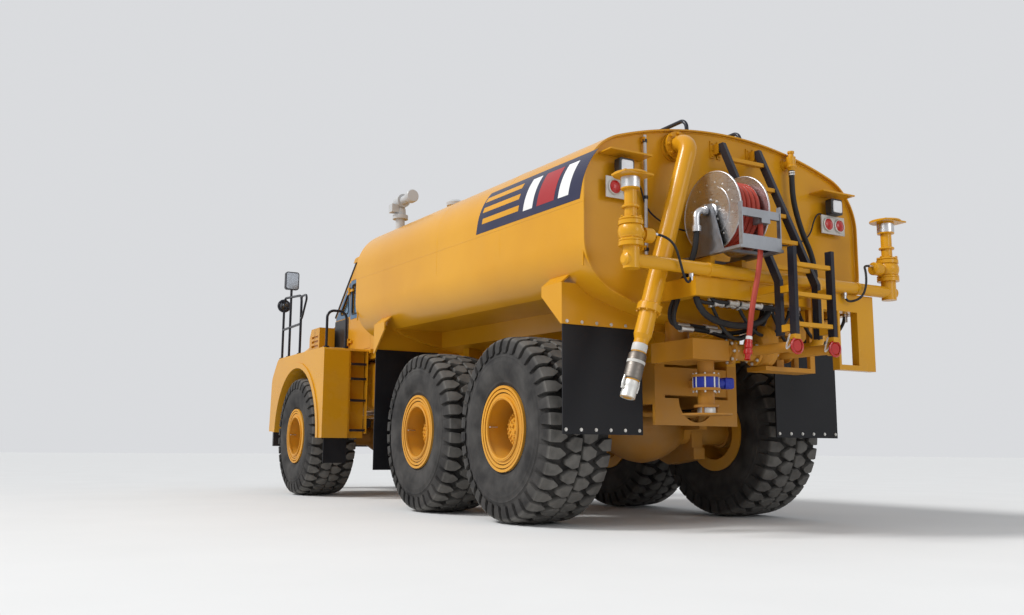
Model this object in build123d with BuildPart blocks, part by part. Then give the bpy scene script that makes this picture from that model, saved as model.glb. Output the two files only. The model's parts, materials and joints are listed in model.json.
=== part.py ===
"""Articulated six-wheel-drive water tanker truck, in millimetres.

The truck drives towards +X, +Y is its left side and +Z is up. The origin lies on the ground, under the middle of
the overall length and width. The root is the rear chassis with its water tank. The hitch turns in the rear
frame's tube, and the tractor end steers about the hitch's vertical pin.
"""
import os
from math import cos, hypot, radians, sin

from build123d import *

os.makedirs("parts", exist_ok=True)

# Overall reach and clearances
HALF_LENGTH = 6000.0
SEAT_GAP = 0.3
SWING_GAP = 6.0

# Wheels and axles
TYRE_RADIUS = 910.0
TYRE_WIDTH = 750.0
LUG_COUNT = 36
LUG_DEPTH = 48.0
LUG_WIDTH = 104.0
LUG_INNER_Y = 185.0
LUG_SHOULDER_DROP = 112.0
CENTRE_LUG_HALF = 160.0
TRACK = 2690.0
PIVOT_TO_FRONT_AXLE = 1550.0
MID_AXLE_X = -1600.0
REAR_AXLE_X = -3600.0
RIM_BARREL_RADIUS = 320.0
RIM_WALL = 24.0
RIM_FLANGE_RADIUS = 418.0
RIM_FLANGE = 20.0
RIM_HALF_WIDTH = 336.0
RIM_RING = 26.0
RIM_GROOVE = 12.0
HUB_RADIUS = 185.0
HUB_FACE = 180.0
HUB_BACK = 200.0
HUB_CAP_RADIUS = 115.0
SPINDLE_RADIUS = 110.0
SPINDLE_REACH = 95.0
AXLE_TUBE_RADIUS = 140.0
DIFF_RADIUS = 330.0
DIFF_HALF_WIDTH = 480.0
PINION_REACH = 430.0
PINION_RADIUS = 130.0
PANHARD_BACK = 430.0
PANHARD_Z = 1075.0
PANHARD_RADIUS = 32.0
PANHARD_EYE = 58.0
PANHARD_PIN = 28.0
PANHARD_RIGHT_Y = -430.0

# Hitch and frames
PIVOT_AHEAD = 1050.0
HITCH_Z = 1150.0
PIN_RADIUS = 70.0
EYE_RADIUS = 150.0
EYE_HEIGHT = 300.0
LUG_THICK = 90.0
TRUNNION_RADIUS = 140.0
HITCH_TUBE_RADIUS = 210.0
HITCH_TUBE_SETBACK = 550.0
REAR_RAIL_INNER = 400.0
REAR_RAIL_OUTER = 520.0
REAR_RAIL_BOTTOM = 1150.0
REAR_RAIL_TOP = 1550.0
FRAME_FRONT_SETBACK = 50.0
FRAME_TAIL = 580.0
FRONT_RAIL_INNER = 250.0
FRONT_RAIL_OUTER = 370.0
FRONT_RAIL_BOTTOM = 1280.0
FRONT_RAIL_TOP = 1600.0
YOKE_AHEAD = 230.0
YOKE_PLATE = 140.0
TOW_BORE_RADIUS = 30.0
ARCH_PLATE = 40.0
ARCH_PLATE_DROP = 260.0
ARCH_PLATE_RADIUS = 230.0
ARCH_PLATE_LAP = 60.0

# Bogie beams
BEAM_Y = 640.0
BEAM_THICK = 150.0
BEAM_SEAT_Z = 740.0
BEAM_PIVOT_Z = 1080.0
BEAM_PIN_RADIUS = 90.0

# Tank
TANK_REAR_X = -5080.0
TANK_LENGTH = 5480.0
TANK_RISE = 150.0
TANK_HALF_WIDTH = 1727.0
TANK_BOTTOM = 1820.0
TANK_TOP = 3730.0
TANK_CROWN = 370.0
TANK_TOP_CORNER = 560.0
TANK_BOTTOM_CORNER = 500.0
SHELL_LIP = 14.0
HEAD_INSET = 40.0
WELL_INNER_Y = 830.0
WELL_AHEAD = 1150.0
WELL_BEHIND = 1000.0
WELL_TOP = 2110.0
MANWAY_SETBACK = 1000.0
NECK_RADIUS = 300.0
NECK_WALL = 40.0
NECK_HEIGHT = 130.0
LID_RADIUS = 340.0
LID_THICK = 36.0
LID_CLAMPS = 6
LID_CLAMP_RADIUS = 300.0

# Wing plates, flaps and cradle
WING_AHEAD = 1260.0
WING_BEHIND = 1120.0
WING_PLATE = 20.0
WING_PROUD = 8.0
WING_REAR_Z = 1810.0
WING_FRONT_Z = 1920.0
WING_ROOF_DROP = 90.0
WING_ROOF_RUN = 150.0
WING_ROOF_RISE = 110.0
WING_RETURN = 320.0
WING_SHOULDER_RISE = 370.0
FLAP_THICK = 14.0
FLAP_INNER_Y = 840.0
FLAP_REAR_LOW = 845.0
FLAP_FRONT_LOW = 450.0
FLAP_LAP = 50.0
BOLSTER_THICK = 160.0
BOLSTER_HALF = 700.0

# Rear platform, reel and ladder
PLATFORM_REACH = 440.0
PLATFORM_LEFT_Y = 870.0
PLATFORM_RIGHT_Y = -1370.0
PLATFORM_TOP = 2200.0
PLATFORM_DEPTH = 170.0
BEAM_WALL = 120.0
DECK_THICK = 20.0
REEL_REACH = 390.0
REEL_Z = 2800.0
REEL_RADIUS = 370.0
REEL_LEFT_Y = 625.0
REEL_RIGHT_Y = 285.0
DISC_THICK = 8.0
DRUM_RADIUS = 140.0
WOUND_RADIUS = 300.0
SHAFT_RADIUS = 25.0
STAND_TOP = 2400.0
REEL_SIDE = 12.0
REEL_SIDE_GAP = 45.0
STAND_POST = 50.0
REEL_APRON = 120.0
REEL_BAR = 40.0
GUIDE_Y = 400.0
GUIDE_DROP = 160.0
GUARD_BOTTOM = 1470.0
GUARD_WIDTH = 500.0
GUARD_PLATE = 230.0
GUARD_FOOT = 50.0
HOSE_RADIUS = 24.0
LADDER_LEFT_Y = 175.0
LADDER_RIGHT_Y = -285.0
STRINGER_WIDTH = 40.0
STRINGER_DEPTH = 70.0
RUNG_DEPTH = 50.0
RUNG_THICK = 36.0
LADDER_STANDOFF = 110.0
LADDER_TOP_DROP = 160.0
LADDER_KNEE_REACH = 720.0
LADDER_KNEE_Z = 2170.0
LADDER_FOOT_Z = 1690.0
LOWER_LADDER_REACH = 920.0
LOWER_LADDER_TOP = 2450.0
GRAB_SET = 300.0
GRAB_LENGTH = 600.0
GRAB_HEIGHT = 190.0
GRAB_OUT = 120.0

# Pipework
MANIFOLD_REACH = 470.0
MANIFOLD_RADIUS = 57.0
RISER_SET = 147.0
VALVE_Z = 2480.0
SPRAY_PLATE_Z = 2960.0
FILL_REACH = 220.0
FILL_RADIUS = 84.0
FILL_NECK_RADIUS = 62.0
FILL_TOP_Y = 700.0
FILL_DROP = 230.0
FILL_END_SET = 277.0
FILL_END_Z = 1140.0
GAUGE_Y = 1050.0
GAUGE_BOTTOM = 2460.0
GAUGE_TOP_DROP = 200.0
PUMP_REACH = 220.0
PUMP_Z = 1650.0
VOLUTE_RADIUS = 200.0
OUTLET_REACH = 655.0
OUTLET_DROP = 100.0
OUTLET_FLANGE = 58.0
DUMP_REACH = 120.0
DUMP_Y = 500.0
SUMP_Y = (360.0, 780.0)
SUMP_Z = (1500.0, 1680.0)
SUMP_FRONT = 300.0
BREATHER_Y = -750.0
BREATHER_DROP = 170.0
BREATHER_RADIUS = 27.0
LAMP_SET = 387.0
LAMP_DROP = 730.0
LAMP_PLATE = (330.0, 190.0)
LENS_RADIUS = 62.0
VISOR_DROP = 425.0
MONITOR_SETBACK = 280.0
MONITOR_SET = 507.0
MONITOR_HEIGHT = 170.0

# Tractor
SIDE_TANK_OUTER = 900.0
CAB_GAP = 950.0
CAB_LENGTH = 2050.0
CAB_HALF = 950.0
CAB_WALL = 60.0
CAB_FLOOR_Z = 2060.0
CAB_COWL_Z = 2880.0
CAB_EAVE_Z = 3660.0
CAB_ROOF_LENGTH = 1150.0
ROOF_THICK = 90.0
ROOF_ROUND = 35.0
WINDOW_CORNER = 50.0
CAB_ROUND = 40.0
OPERATOR_SET = 530.0
DASH_DEPTH = 440.0
DOOR_SET = 450.0
DOOR_WIDTH = 900.0
DOOR_SILL_Z = 2230.0
DOOR_TOP_Z = 3400.0
BELT_Z = 2840.0
DOOR_KNUCKLE = 20.0
DOOR_PIN = 10.0
DOOR_HINGE_OUT = 27.0
DOOR_HINGE_HALF = 55.0
DOOR_HINGE_INSET = 170.0
GLASS_THICK = 12.0
FENDER_INNER_Y = 1000.0
FENDER_OUTER_Y = 1700.0
FENDER_BEHIND = 1300.0
FENDER_AHEAD = 1420.0
FENDER_TOP = 2200.0
FENDER_REAR_Z = 870.0
FENDER_FRONT_Z = 1000.0
FENDER_SKIN = 30.0
FENDER_ROUND = 240.0
ARCH_RADIUS = 1060.0
ARCH_LIP = 85.0
ARCH_LIP_OUT = 16.0
POD_AHEAD = 240.0
POD_LENGTH = 500.0
POD_HEIGHT = 480.0
POD_WIDTH = 260.0
LADDER_BAY_Y = 1310.0
LADDER_BAY_DEPTH = 190.0
HOOD_GAP = 40.0
HOOD_HALF = 960.0
HOOD_REAR_TOP = 2760.0
HOOD_NOSE_TOP = 2380.0
HOOD_NOSE_SET = 40.0
HOOD_ROUND = 90.0
HOOD_BOTTOM = 1640.0
HOOD_SHELL = 40.0
HOOD_HINGE_SET = 120.0
HOOD_HINGE_Z = 1400.0
HOOD_ARM_Y = 560.0
HOOD_ARM_HALF = 25.0
HOOD_PIN_RADIUS = 25.0
BUMPER_DEPTH = 300.0
BUMPER_TAPER = 180.0
BUMPER_CORNER = 260.0
TOW_LUG = 60.0
TOW_LUG_Y = 500.0
TOW_LUG_Z = 975.0
HEADLAMP_RADIUS = 95.0
HEADLAMP_Y = (650.0, 860.0)
HEADLAMP_Z = 1120.0
BUMPER_HALF = 1250.0
BUMPER_TOP = 1300.0
BUMPER_BOTTOM = 760.0
RAIL_TUBE = 20.0
RAIL_SET = 50.0
LOOP_SET = 70.0
RAIL_TOP_Z = 3230.0
RAIL_LOW_Z = 2690.0
MIRROR_TOP_Z = 3600.0
ENGINE_SET = 460.0
ENGINE_TOP = 2320.0
ENGINE_HALF = 430.0
RADIATOR_SET = 400.0
RADIATOR_THICK = 140.0
RADIATOR_HALF = 800.0
RADIATOR_TOP = 2200.0
FAN_GAP = 120.0
STACK_SET = 210.0
STACK_Y = -1080.0
STACK_TOP = 3860.0

# Steering cylinders
CYL_AHEAD = 1000.0
CYL_FRONT_Y = 580.0
CYL_BEHIND = 350.0
CYL_REAR_Y = 420.0
CYL_Z = 1090.0
CYL_BARREL_RADIUS = 62.0
CYL_ROD_RADIUS = 34.0
CYL_LENGTH = 830.0
CYL_EYE_HEIGHT = 70.0
CYL_BORE_START = 90.0
ROD_START = 450.0

# Places that follow from those values
AXLE_Z = TYRE_RADIUS
WHEEL_Y = TRACK / 2
TANK_FRONT_X = TANK_REAR_X + TANK_LENGTH
HEAD_X = TANK_REAR_X + HEAD_INSET
TANK_SLOPE = TANK_RISE / TANK_LENGTH
BOGIE_X = (MID_AXLE_X + REAR_AXLE_X) / 2
WELL_FRONT_X = MID_AXLE_X + WELL_AHEAD
WELL_REAR_X = REAR_AXLE_X - WELL_BEHIND
MANWAY_X = TANK_FRONT_X - MANWAY_SETBACK
WING_FRONT_X = MID_AXLE_X + WING_AHEAD
WING_REAR_X = REAR_AXLE_X - WING_BEHIND
WING_OUTER_Y = TANK_HALF_WIDTH + WING_PROUD
PIVOT_X = TANK_FRONT_X + PIVOT_AHEAD
HITCH_TUBE_FRONT = PIVOT_X - HITCH_TUBE_SETBACK
REAR_FRAME_FRONT = TANK_FRONT_X - FRAME_FRONT_SETBACK
REAR_FRAME_END = TANK_REAR_X + FRAME_TAIL
PLATFORM_REAR_X = TANK_REAR_X - PLATFORM_REACH
REEL_X = TANK_REAR_X - REEL_REACH
MANIFOLD_X = TANK_REAR_X - MANIFOLD_REACH
RISER_Y = TANK_HALF_WIDTH - RISER_SET
FILL_X = TANK_REAR_X - FILL_REACH
FILL_TOP_Z = TANK_TOP - FILL_DROP
FILL_END_Y = TANK_HALF_WIDTH - FILL_END_SET
PUMP_X = TANK_REAR_X - PUMP_REACH
PUMP_END_Y = SUMP_Y[0] - 755
DUMP_X = TANK_REAR_X - DUMP_REACH
LAMP_Y = TANK_HALF_WIDTH - LAMP_SET
LAMP_Z = TANK_TOP - LAMP_DROP
LADDER_TAIL_X = TANK_REAR_X - LOWER_LADDER_REACH
MONITOR_X = TANK_FRONT_X - MONITOR_SETBACK
MONITOR_Y = TANK_HALF_WIDTH - MONITOR_SET
FRONT_AXLE_X = PIVOT_X + PIVOT_TO_FRONT_AXLE
YOKE_BACK = PIVOT_X + YOKE_AHEAD
CYL_FRONT_X = PIVOT_X + CYL_AHEAD
CYL_REAR_X = PIVOT_X - CYL_BEHIND
CAB_REAR_X = TANK_FRONT_X + CAB_GAP
CAB_FRONT_X = CAB_REAR_X + CAB_LENGTH
CAB_EAVE_X = CAB_REAR_X + CAB_ROOF_LENGTH
DOOR_REAR_X = CAB_REAR_X + DOOR_SET
DOOR_FRONT_X = DOOR_REAR_X + DOOR_WIDTH
FENDER_REAR_X = FRONT_AXLE_X - FENDER_BEHIND
FENDER_FRONT_X = FRONT_AXLE_X + FENDER_AHEAD
HOOD_REAR_X = CAB_FRONT_X + HOOD_GAP
HOOD_NOSE_X = HALF_LENGTH - HOOD_NOSE_SET
HOOD_HINGE_X = HALF_LENGTH - HOOD_HINGE_SET
BUMPER_BACK_X = HALF_LENGTH - BUMPER_DEPTH
FRONT_FRAME_END = BUMPER_BACK_X
SIDES = (1, -1)

# name, axle place, side
WHEELS = [
    (f"{row}_{hand}", axle_x, side)
    for row, axle_x in (("front", FRONT_AXLE_X), ("mid", MID_AXLE_X), ("rear", REAR_AXLE_X))
    for hand, side in (("left", 1), ("right", -1))
]


def write(piece, label):
    """Label a finished piece and write its STEP file."""
    piece.label = label
    export_step(piece, f"parts/{label}.step")


def span(x_limits, y_limits, z_limits):
    """A box between two limits along each axis."""
    limits = (x_limits, y_limits, z_limits)
    middle = [(low + high) / 2 for low, high in limits]
    sizes = [abs(high - low) for low, high in limits]
    with BuildPart() as block:
        with Locations(tuple(middle)):
            Box(*sizes)
    return block.part


def rod(start, end, radius):
    """A round bar from one point to another."""
    way = Vector(*end) - Vector(*start)
    with BuildPart() as bar:
        with BuildSketch(Plane(origin=start, z_dir=way)):
            Circle(radius)
        extrude(amount=way.length)
    return bar.part


def tube_run(points, bend, radius):
    """A round bar along straight runs joined by tangent arcs."""
    with BuildPart() as run:
        with BuildLine() as way:
            FilletPolyline(*points, radius=bend)
        with BuildSketch(Plane(origin=way.line @ 0, z_dir=way.line % 0)):
            Circle(radius)
        sweep(path=way.line)
    return run.part


def turned(steps, origin, way):
    """A solid of revolution from (along, radius) corners, with its axis from an origin along a way."""
    with BuildPart() as solid:
        with BuildSketch(Plane.XZ):
            with BuildLine():
                Polyline((0, steps[0][0]), *[(radius, along) for along, radius in steps], (0, steps[-1][0]), close=True)
            make_face()
        revolve(axis=Axis.Z)
    return solid.part.moved(Plane(origin=origin, z_dir=way).location)


def side_plate(outline, low_y, high_y, corner=0.0):
    """A plate cut to a side-view outline of (x, z) points, between two places across the truck."""
    with BuildPart() as plate:
        with BuildSketch(Plane.XZ.offset(-high_y)) as side_view:
            with BuildLine():
                Polyline(*outline, close=True)
            make_face()
            if corner:
                fillet(side_view.vertices(), corner)
        extrude(amount=high_y - low_y)
    return plate.part


def tank_lift(x):
    """Height that the tank has gained at a place along the truck."""
    return TANK_SLOPE * (x - TANK_REAR_X)


def tank_top_at(x, y):
    """Height of the tank's crown at a place."""
    crown_radius = (TANK_HALF_WIDTH**2 + TANK_CROWN**2) / (2 * TANK_CROWN)
    return TANK_TOP + tank_lift(x) - crown_radius + (crown_radius**2 - y**2) ** 0.5


def tank_section(x, inset=0.0):
    """The tank's cross-section: crowned top and bottom, straight sides and round corners."""
    half = TANK_HALF_WIDTH - inset
    top = TANK_TOP + tank_lift(x) - inset
    bottom = TANK_BOTTOM + tank_lift(x) + inset
    with BuildSketch(Plane.YZ.offset(x)) as section:
        with BuildLine():
            ThreePointArc((-half, top - TANK_CROWN), (0, top), (half, top - TANK_CROWN))
            Line((half, top - TANK_CROWN), (half, bottom + TANK_CROWN))
            ThreePointArc((half, bottom + TANK_CROWN), (0, bottom), (-half, bottom + TANK_CROWN))
            Line((-half, bottom + TANK_CROWN), (-half, top - TANK_CROWN))
        make_face()
        fillet(section.vertices().group_by(Axis.Y)[-1], TANK_TOP_CORNER - inset)
        fillet(section.vertices().group_by(Axis.Y)[0], TANK_BOTTOM_CORNER - inset)
    return section.sketch


# Wheels, built round the Y axis with the outer face towards +Y
with BuildPart() as tyre:
    half_width = TYRE_WIDTH / 2
    bead_half = RIM_HALF_WIDTH - RIM_FLANGE - 10
    bead_radius = RIM_BARREL_RADIUS + SEAT_GAP
    shoulder = half_width - 25
    tread_radius = TYRE_RADIUS - LUG_DEPTH
    wall_radius = TYRE_RADIUS - LUG_SHOULDER_DROP
    with BuildSketch(Plane.YZ):
        with BuildLine():
            Polyline((-bead_half, RIM_FLANGE_RADIUS + 8), (-bead_half, bead_radius), (bead_half, bead_radius),
                     (bead_half, RIM_FLANGE_RADIUS + 8))
            ThreePointArc((bead_half, RIM_FLANGE_RADIUS + 8), (half_width, TYRE_RADIUS * 0.68),
                          (shoulder, wall_radius))
            Polyline((shoulder, wall_radius), (shoulder - 40, tread_radius), (40 - shoulder, tread_radius),
                     (-shoulder, wall_radius))
            ThreePointArc((-shoulder, wall_radius), (-half_width, TYRE_RADIUS * 0.68),
                          (-bead_half, RIM_FLANGE_RADIUS + 8))
        make_face()
    revolve(axis=Axis.Y)
    # Shoulder lugs on both edges, half a pitch apart, and one centre lug for every two pitches
    pitch = 360 / LUG_COUNT
    lug_outer = half_width - 13
    with BuildPart() as shoulder_lug:
        with BuildSketch(Plane.XY.offset(wall_radius - 15)):
            with Locations((0, (LUG_INNER_Y + lug_outer) / 2)):
                Rectangle(LUG_WIDTH, lug_outer - LUG_INNER_Y)
        extrude(amount=TYRE_RADIUS - wall_radius + 15)
        outer_edge = shoulder_lug.faces().sort_by(Axis.Y)[-1].edges().sort_by(Axis.Z)[-1]
        chamfer(outer_edge, 34)
    with BuildPart() as centre_lug:
        half_pitch = LUG_WIDTH * 0.72
        with BuildSketch(Plane.XY.offset(tread_radius - 30)):
            with BuildLine():
                Polyline((-half_pitch, -CENTRE_LUG_HALF), (half_pitch * 0.4, -CENTRE_LUG_HALF), (half_pitch * 1.25, 0),
                         (half_pitch, CENTRE_LUG_HALF), (-half_pitch * 0.4, CENTRE_LUG_HALF), (-half_pitch * 1.25, 0),
                         close=True)
            make_face()
        extrude(amount=TYRE_RADIUS - tread_radius + 30)
    lugs = []
    for number in range(LUG_COUNT):
        for side in SIDES:
            turn = pitch * (number + (0 if side > 0 else 0.5))
            lug = shoulder_lug.part if side > 0 else mirror(shoulder_lug.part, about=Plane.XZ)
            lugs.append(lug.moved(Location((0, 0, 0), (0, turn, 0))))
        if number % 2 == 0:
            lugs.append(centre_lug.part.moved(Location((0, 0, 0), (0, pitch * number, 0))))
    add(lugs)

with BuildPart() as rim:
    inner_radius = RIM_BARREL_RADIUS - RIM_WALL
    bore = SPINDLE_RADIUS + SEAT_GAP
    face = RIM_HALF_WIDTH
    # radius where each ring of the outer flange starts, with grooves between them
    rings = [RIM_FLANGE_RADIUS - RIM_RING, RIM_FLANGE_RADIUS - RIM_RING - RIM_GROOVE,
             RIM_FLANGE_RADIUS - 2 * RIM_RING - RIM_GROOVE, RIM_FLANGE_RADIUS - 2 * RIM_RING - 2 * RIM_GROOVE]
    with BuildSketch(Plane.YZ):
        with BuildLine():
            Polyline(
                (SPINDLE_REACH + 5, 0), (HUB_FACE + 25, 0), (HUB_FACE + 25, HUB_CAP_RADIUS - 10),
                (HUB_FACE, HUB_CAP_RADIUS), (HUB_FACE, HUB_RADIUS - 18), (HUB_FACE - 18, HUB_RADIUS), (20, HUB_RADIUS),
                (-10, HUB_RADIUS + 45), (-40, HUB_RADIUS + 45),
                (-40, inner_radius), (face - 6, inner_radius), (face - 6, inner_radius - 12),
                (face + 14, inner_radius - 12), (face + 14, RIM_BARREL_RADIUS - 8),
                (face, RIM_BARREL_RADIUS - 8), (face, rings[3]), (face - 9, rings[3]), (face - 9, rings[2]),
                (face + 7, rings[2]), (face + 7, rings[1]), (face - 9, rings[1]), (face - 9, rings[0]),
                (face + 10, rings[0]), (face + 10, RIM_FLANGE_RADIUS),
                (face - RIM_FLANGE, RIM_FLANGE_RADIUS), (face - RIM_FLANGE, RIM_BARREL_RADIUS),
                (RIM_FLANGE - face, RIM_BARREL_RADIUS), (RIM_FLANGE - face, RIM_FLANGE_RADIUS),
                (-face, RIM_FLANGE_RADIUS), (-face, inner_radius), (-70, inner_radius),
                (-70, HUB_RADIUS - 15), (-HUB_BACK, HUB_RADIUS - 15), (-HUB_BACK, bore), (SPINDLE_REACH + 5, bore),
                close=True,
            )
        make_face()
    revolve(axis=Axis.Y)

for wheel_name, axle_x, side in WHEELS:
    place = Location((axle_x, side * WHEEL_Y, AXLE_Z), (0, 0, 0 if side > 0 else 180))
    write(tyre.part.moved(place), f"{wheel_name}_tyre")
    write(rim.part.moved(place), f"{wheel_name}_rim")


def drive_axle(axle_x, pinions):
    """A drive axle: spindles, tubes, a bulged centre housing and pinion noses along X."""
    spindle_end = WHEEL_Y + SPINDLE_REACH
    flange_end = WHEEL_Y - HUB_BACK - SWING_GAP
    with BuildPart() as axle:
        with BuildSketch(Plane.YZ):
            with BuildLine():
                tube_end = DIFF_HALF_WIDTH
                half = [(spindle_end, 0), (spindle_end, SPINDLE_RADIUS), (flange_end, SPINDLE_RADIUS),
                        (flange_end, AXLE_TUBE_RADIUS + 25), (flange_end - 60, AXLE_TUBE_RADIUS + 25),
                        (flange_end - 60, AXLE_TUBE_RADIUS), (tube_end, AXLE_TUBE_RADIUS)]
                Polyline(*half)
                bulge = (tube_end / 2, AXLE_TUBE_RADIUS + (DIFF_RADIUS - AXLE_TUBE_RADIUS) * 0.72)
                ThreePointArc((tube_end, AXLE_TUBE_RADIUS), bulge, (0, DIFF_RADIUS))
                ThreePointArc((0, DIFF_RADIUS), (-bulge[0], bulge[1]), (-tube_end, AXLE_TUBE_RADIUS))
                Polyline(*[(-y, z) for y, z in reversed(half)])
                Line((-spindle_end, 0), (spindle_end, 0))
            make_face()
        revolve(axis=Axis.Y)
        for way in pinions:
            add(rod((0, 0, 0), (way * PINION_REACH, 0, 0), PINION_RADIUS))
    return axle.part.moved(Location((axle_x, 0, AXLE_Z)))


panhard_left_y = (REAR_RAIL_INNER + REAR_RAIL_OUTER) / 2

# Rear axles, each with a seat pad above the beams
with BuildPart() as bogie_axles:
    for axle_x, pinions in ((MID_AXLE_X, SIDES), (REAR_AXLE_X, (1,))):
        add(drive_axle(axle_x, pinions))
        for side in SIDES:
            low, high = sorted((side * (BEAM_Y - BEAM_THICK / 2), side * (BEAM_Y + BEAM_THICK / 2)))
            add(span((axle_x - 150, axle_x + 150), (low, high), (BEAM_SEAT_Z, AXLE_Z)))
    shaft_ends = (MID_AXLE_X - PINION_REACH, REAR_AXLE_X + PINION_REACH)
    add(rod((shaft_ends[0], 0, AXLE_Z), (shaft_ends[1], 0, AXLE_Z), PINION_RADIUS * 0.45))
    for joint_x, way in ((shaft_ends[0], -1), (shaft_ends[1], 1)):
        add(turned([(-20, PINION_RADIUS * 0.8), (40, PINION_RADIUS * 0.8), (40, PINION_RADIUS * 0.6),
                    (130, PINION_RADIUS * 0.6)], (joint_x, 0, AXLE_Z), (way, 0, 0)))
    # Panhard rod behind the rear axle, from its bracket on the right to an eye on the frame's pin
    panhard_x = REAR_AXLE_X - PANHARD_BACK
    panhard_ends = ((panhard_x, PANHARD_RIGHT_Y, PANHARD_Z), (panhard_x, panhard_left_y, PANHARD_Z))
    add(rod(*panhard_ends, PANHARD_RADIUS))
    for _, eye_y, _ in panhard_ends:
        add(rod((panhard_x - 30, eye_y, PANHARD_Z), (panhard_x + 30, eye_y, PANHARD_Z), PANHARD_EYE))
    add(rod((panhard_x - 40, panhard_left_y, PANHARD_Z), (panhard_x + 40, panhard_left_y, PANHARD_Z),
            PANHARD_PIN + SEAT_GAP), mode=Mode.SUBTRACT)
    bracket_y = (PANHARD_RIGHT_Y - 50, PANHARD_RIGHT_Y + 50)
    bracket_low = AXLE_Z + 20
    add(span((panhard_x - 60, REAR_AXLE_X), bracket_y, (bracket_low, bracket_low + 70)))
    for ear in SIDES:
        add(span(sorted((panhard_x + ear * 30, panhard_x + ear * 60)), bracket_y, (bracket_low, PANHARD_Z + PANHARD_EYE)))
write(bogie_axles.part, "bogie_axles")

# Front axle, with suspension struts up to the frame rails
with BuildPart() as front_axle:
    add(drive_axle(FRONT_AXLE_X, (-1,)))
    strut_y = (FRONT_RAIL_INNER + FRONT_RAIL_OUTER) / 2
    for side in SIDES:
        add(rod((FRONT_AXLE_X, side * strut_y, AXLE_Z), (FRONT_AXLE_X, side * strut_y, FRONT_RAIL_BOTTOM), 55))
write(front_axle.part, "front_axle")

# Bogie beams that carry the two rear axles
with BuildPart() as bogie_beams:
    beam_front = MID_AXLE_X + 180
    beam_back = REAR_AXLE_X - 180
    beam_outline = [
        (beam_front, BEAM_SEAT_Z), (MID_AXLE_X - 180, BEAM_SEAT_Z), (BOGIE_X + 260, BEAM_PIVOT_Z + 140),
        (BOGIE_X - 260, BEAM_PIVOT_Z + 140), (REAR_AXLE_X + 180, BEAM_SEAT_Z), (beam_back, BEAM_SEAT_Z),
        (beam_back, BEAM_SEAT_Z - 120), (REAR_AXLE_X + 260, BEAM_SEAT_Z - 180), (BOGIE_X - 240, BEAM_SEAT_Z),
        (BOGIE_X + 240, BEAM_SEAT_Z), (MID_AXLE_X - 260, BEAM_SEAT_Z - 180), (beam_front, BEAM_SEAT_Z - 120),
    ]
    for side in SIDES:
        low, high = sorted((side * (BEAM_Y - BEAM_THICK / 2), side * (BEAM_Y + BEAM_THICK / 2)))
        add(side_plate(beam_outline, low, high))
    beam_reach = BEAM_Y + BEAM_THICK
    add(rod((BOGIE_X, -beam_reach, BEAM_PIVOT_Z), (BOGIE_X, beam_reach, BEAM_PIVOT_Z),
            BEAM_PIN_RADIUS + SEAT_GAP), mode=Mode.SUBTRACT)
write(bogie_beams.part, "bogie_beams")

# Rear frame: two box rails, cross members, the beams' cross shaft and the hitch tube
with BuildPart() as rear_frame:
    for side in SIDES:
        low, high = sorted((side * REAR_RAIL_INNER, side * REAR_RAIL_OUTER))
        add(span((REAR_FRAME_END, REAR_FRAME_FRONT), (low, high), (REAR_RAIL_BOTTOM, REAR_RAIL_TOP)))
        add(side_plate([(BOGIE_X - 200, REAR_RAIL_BOTTOM + 20), (BOGIE_X + 200, REAR_RAIL_BOTTOM + 20),
                        (BOGIE_X + 120, BEAM_PIVOT_Z - 120), (BOGIE_X - 120, BEAM_PIVOT_Z - 120)], low, high))
    for cross_x in (REAR_FRAME_END + 80, BOGIE_X, MID_AXLE_X + 800):
        add(span((cross_x - 70, cross_x + 70), (-REAR_RAIL_INNER, REAR_RAIL_INNER),
                 (REAR_RAIL_BOTTOM + 90, REAR_RAIL_TOP - 40)))
    shaft_reach = BEAM_Y + BEAM_THICK / 2 + 40
    add(rod((BOGIE_X, -shaft_reach, BEAM_PIVOT_Z), (BOGIE_X, shaft_reach, BEAM_PIVOT_Z), BEAM_PIN_RADIUS))
    add(span((REAR_FRAME_FRONT - 120, REAR_FRAME_FRONT), (-REAR_RAIL_OUTER, REAR_RAIL_OUTER),
             (HITCH_Z - HITCH_TUBE_RADIUS, REAR_RAIL_TOP)))
    add(rod((REAR_FRAME_FRONT - 60, 0, HITCH_Z), (HITCH_TUBE_FRONT, 0, HITCH_Z), HITCH_TUBE_RADIUS))
    add(rod((REAR_FRAME_FRONT - 120, 0, HITCH_Z), (HITCH_TUBE_FRONT, 0, HITCH_Z), TRUNNION_RADIUS + SEAT_GAP),
        mode=Mode.SUBTRACT)
    tow_z = (REAR_RAIL_BOTTOM + REAR_RAIL_TOP) / 2
    tow_x = REAR_FRAME_END - 170
    add(span((tow_x - 80, REAR_FRAME_END + 20), (-90, 90), (tow_z - 35, tow_z + 35)))
    add(rod((tow_x, 0, tow_z - 100), (tow_x, 0, tow_z + 100), TOW_BORE_RADIUS), mode=Mode.SUBTRACT)
    with BuildSketch(Plane.YZ.offset(REAR_FRAME_END)):
        Rectangle(2 * REAR_RAIL_OUTER, ARCH_PLATE_DROP, align=(Align.CENTER, Align.MAX))
        Circle(ARCH_PLATE_RADIUS, mode=Mode.SUBTRACT)
    end_plate = extrude(amount=ARCH_PLATE, mode=Mode.PRIVATE)
    add(end_plate.moved(Location((0, 0, REAR_RAIL_BOTTOM + ARCH_PLATE_LAP))))
    panhard_x = REAR_AXLE_X - PANHARD_BACK
    for ear in SIDES:
        add(span(sorted((panhard_x + ear * 35, panhard_x + ear * 60)), (REAR_RAIL_INNER, REAR_RAIL_OUTER),
                 (PANHARD_Z - PANHARD_EYE, REAR_RAIL_BOTTOM)))
    add(rod((panhard_x - 60, panhard_left_y, PANHARD_Z), (panhard_x + 60, panhard_left_y, PANHARD_Z), PANHARD_PIN))
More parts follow.
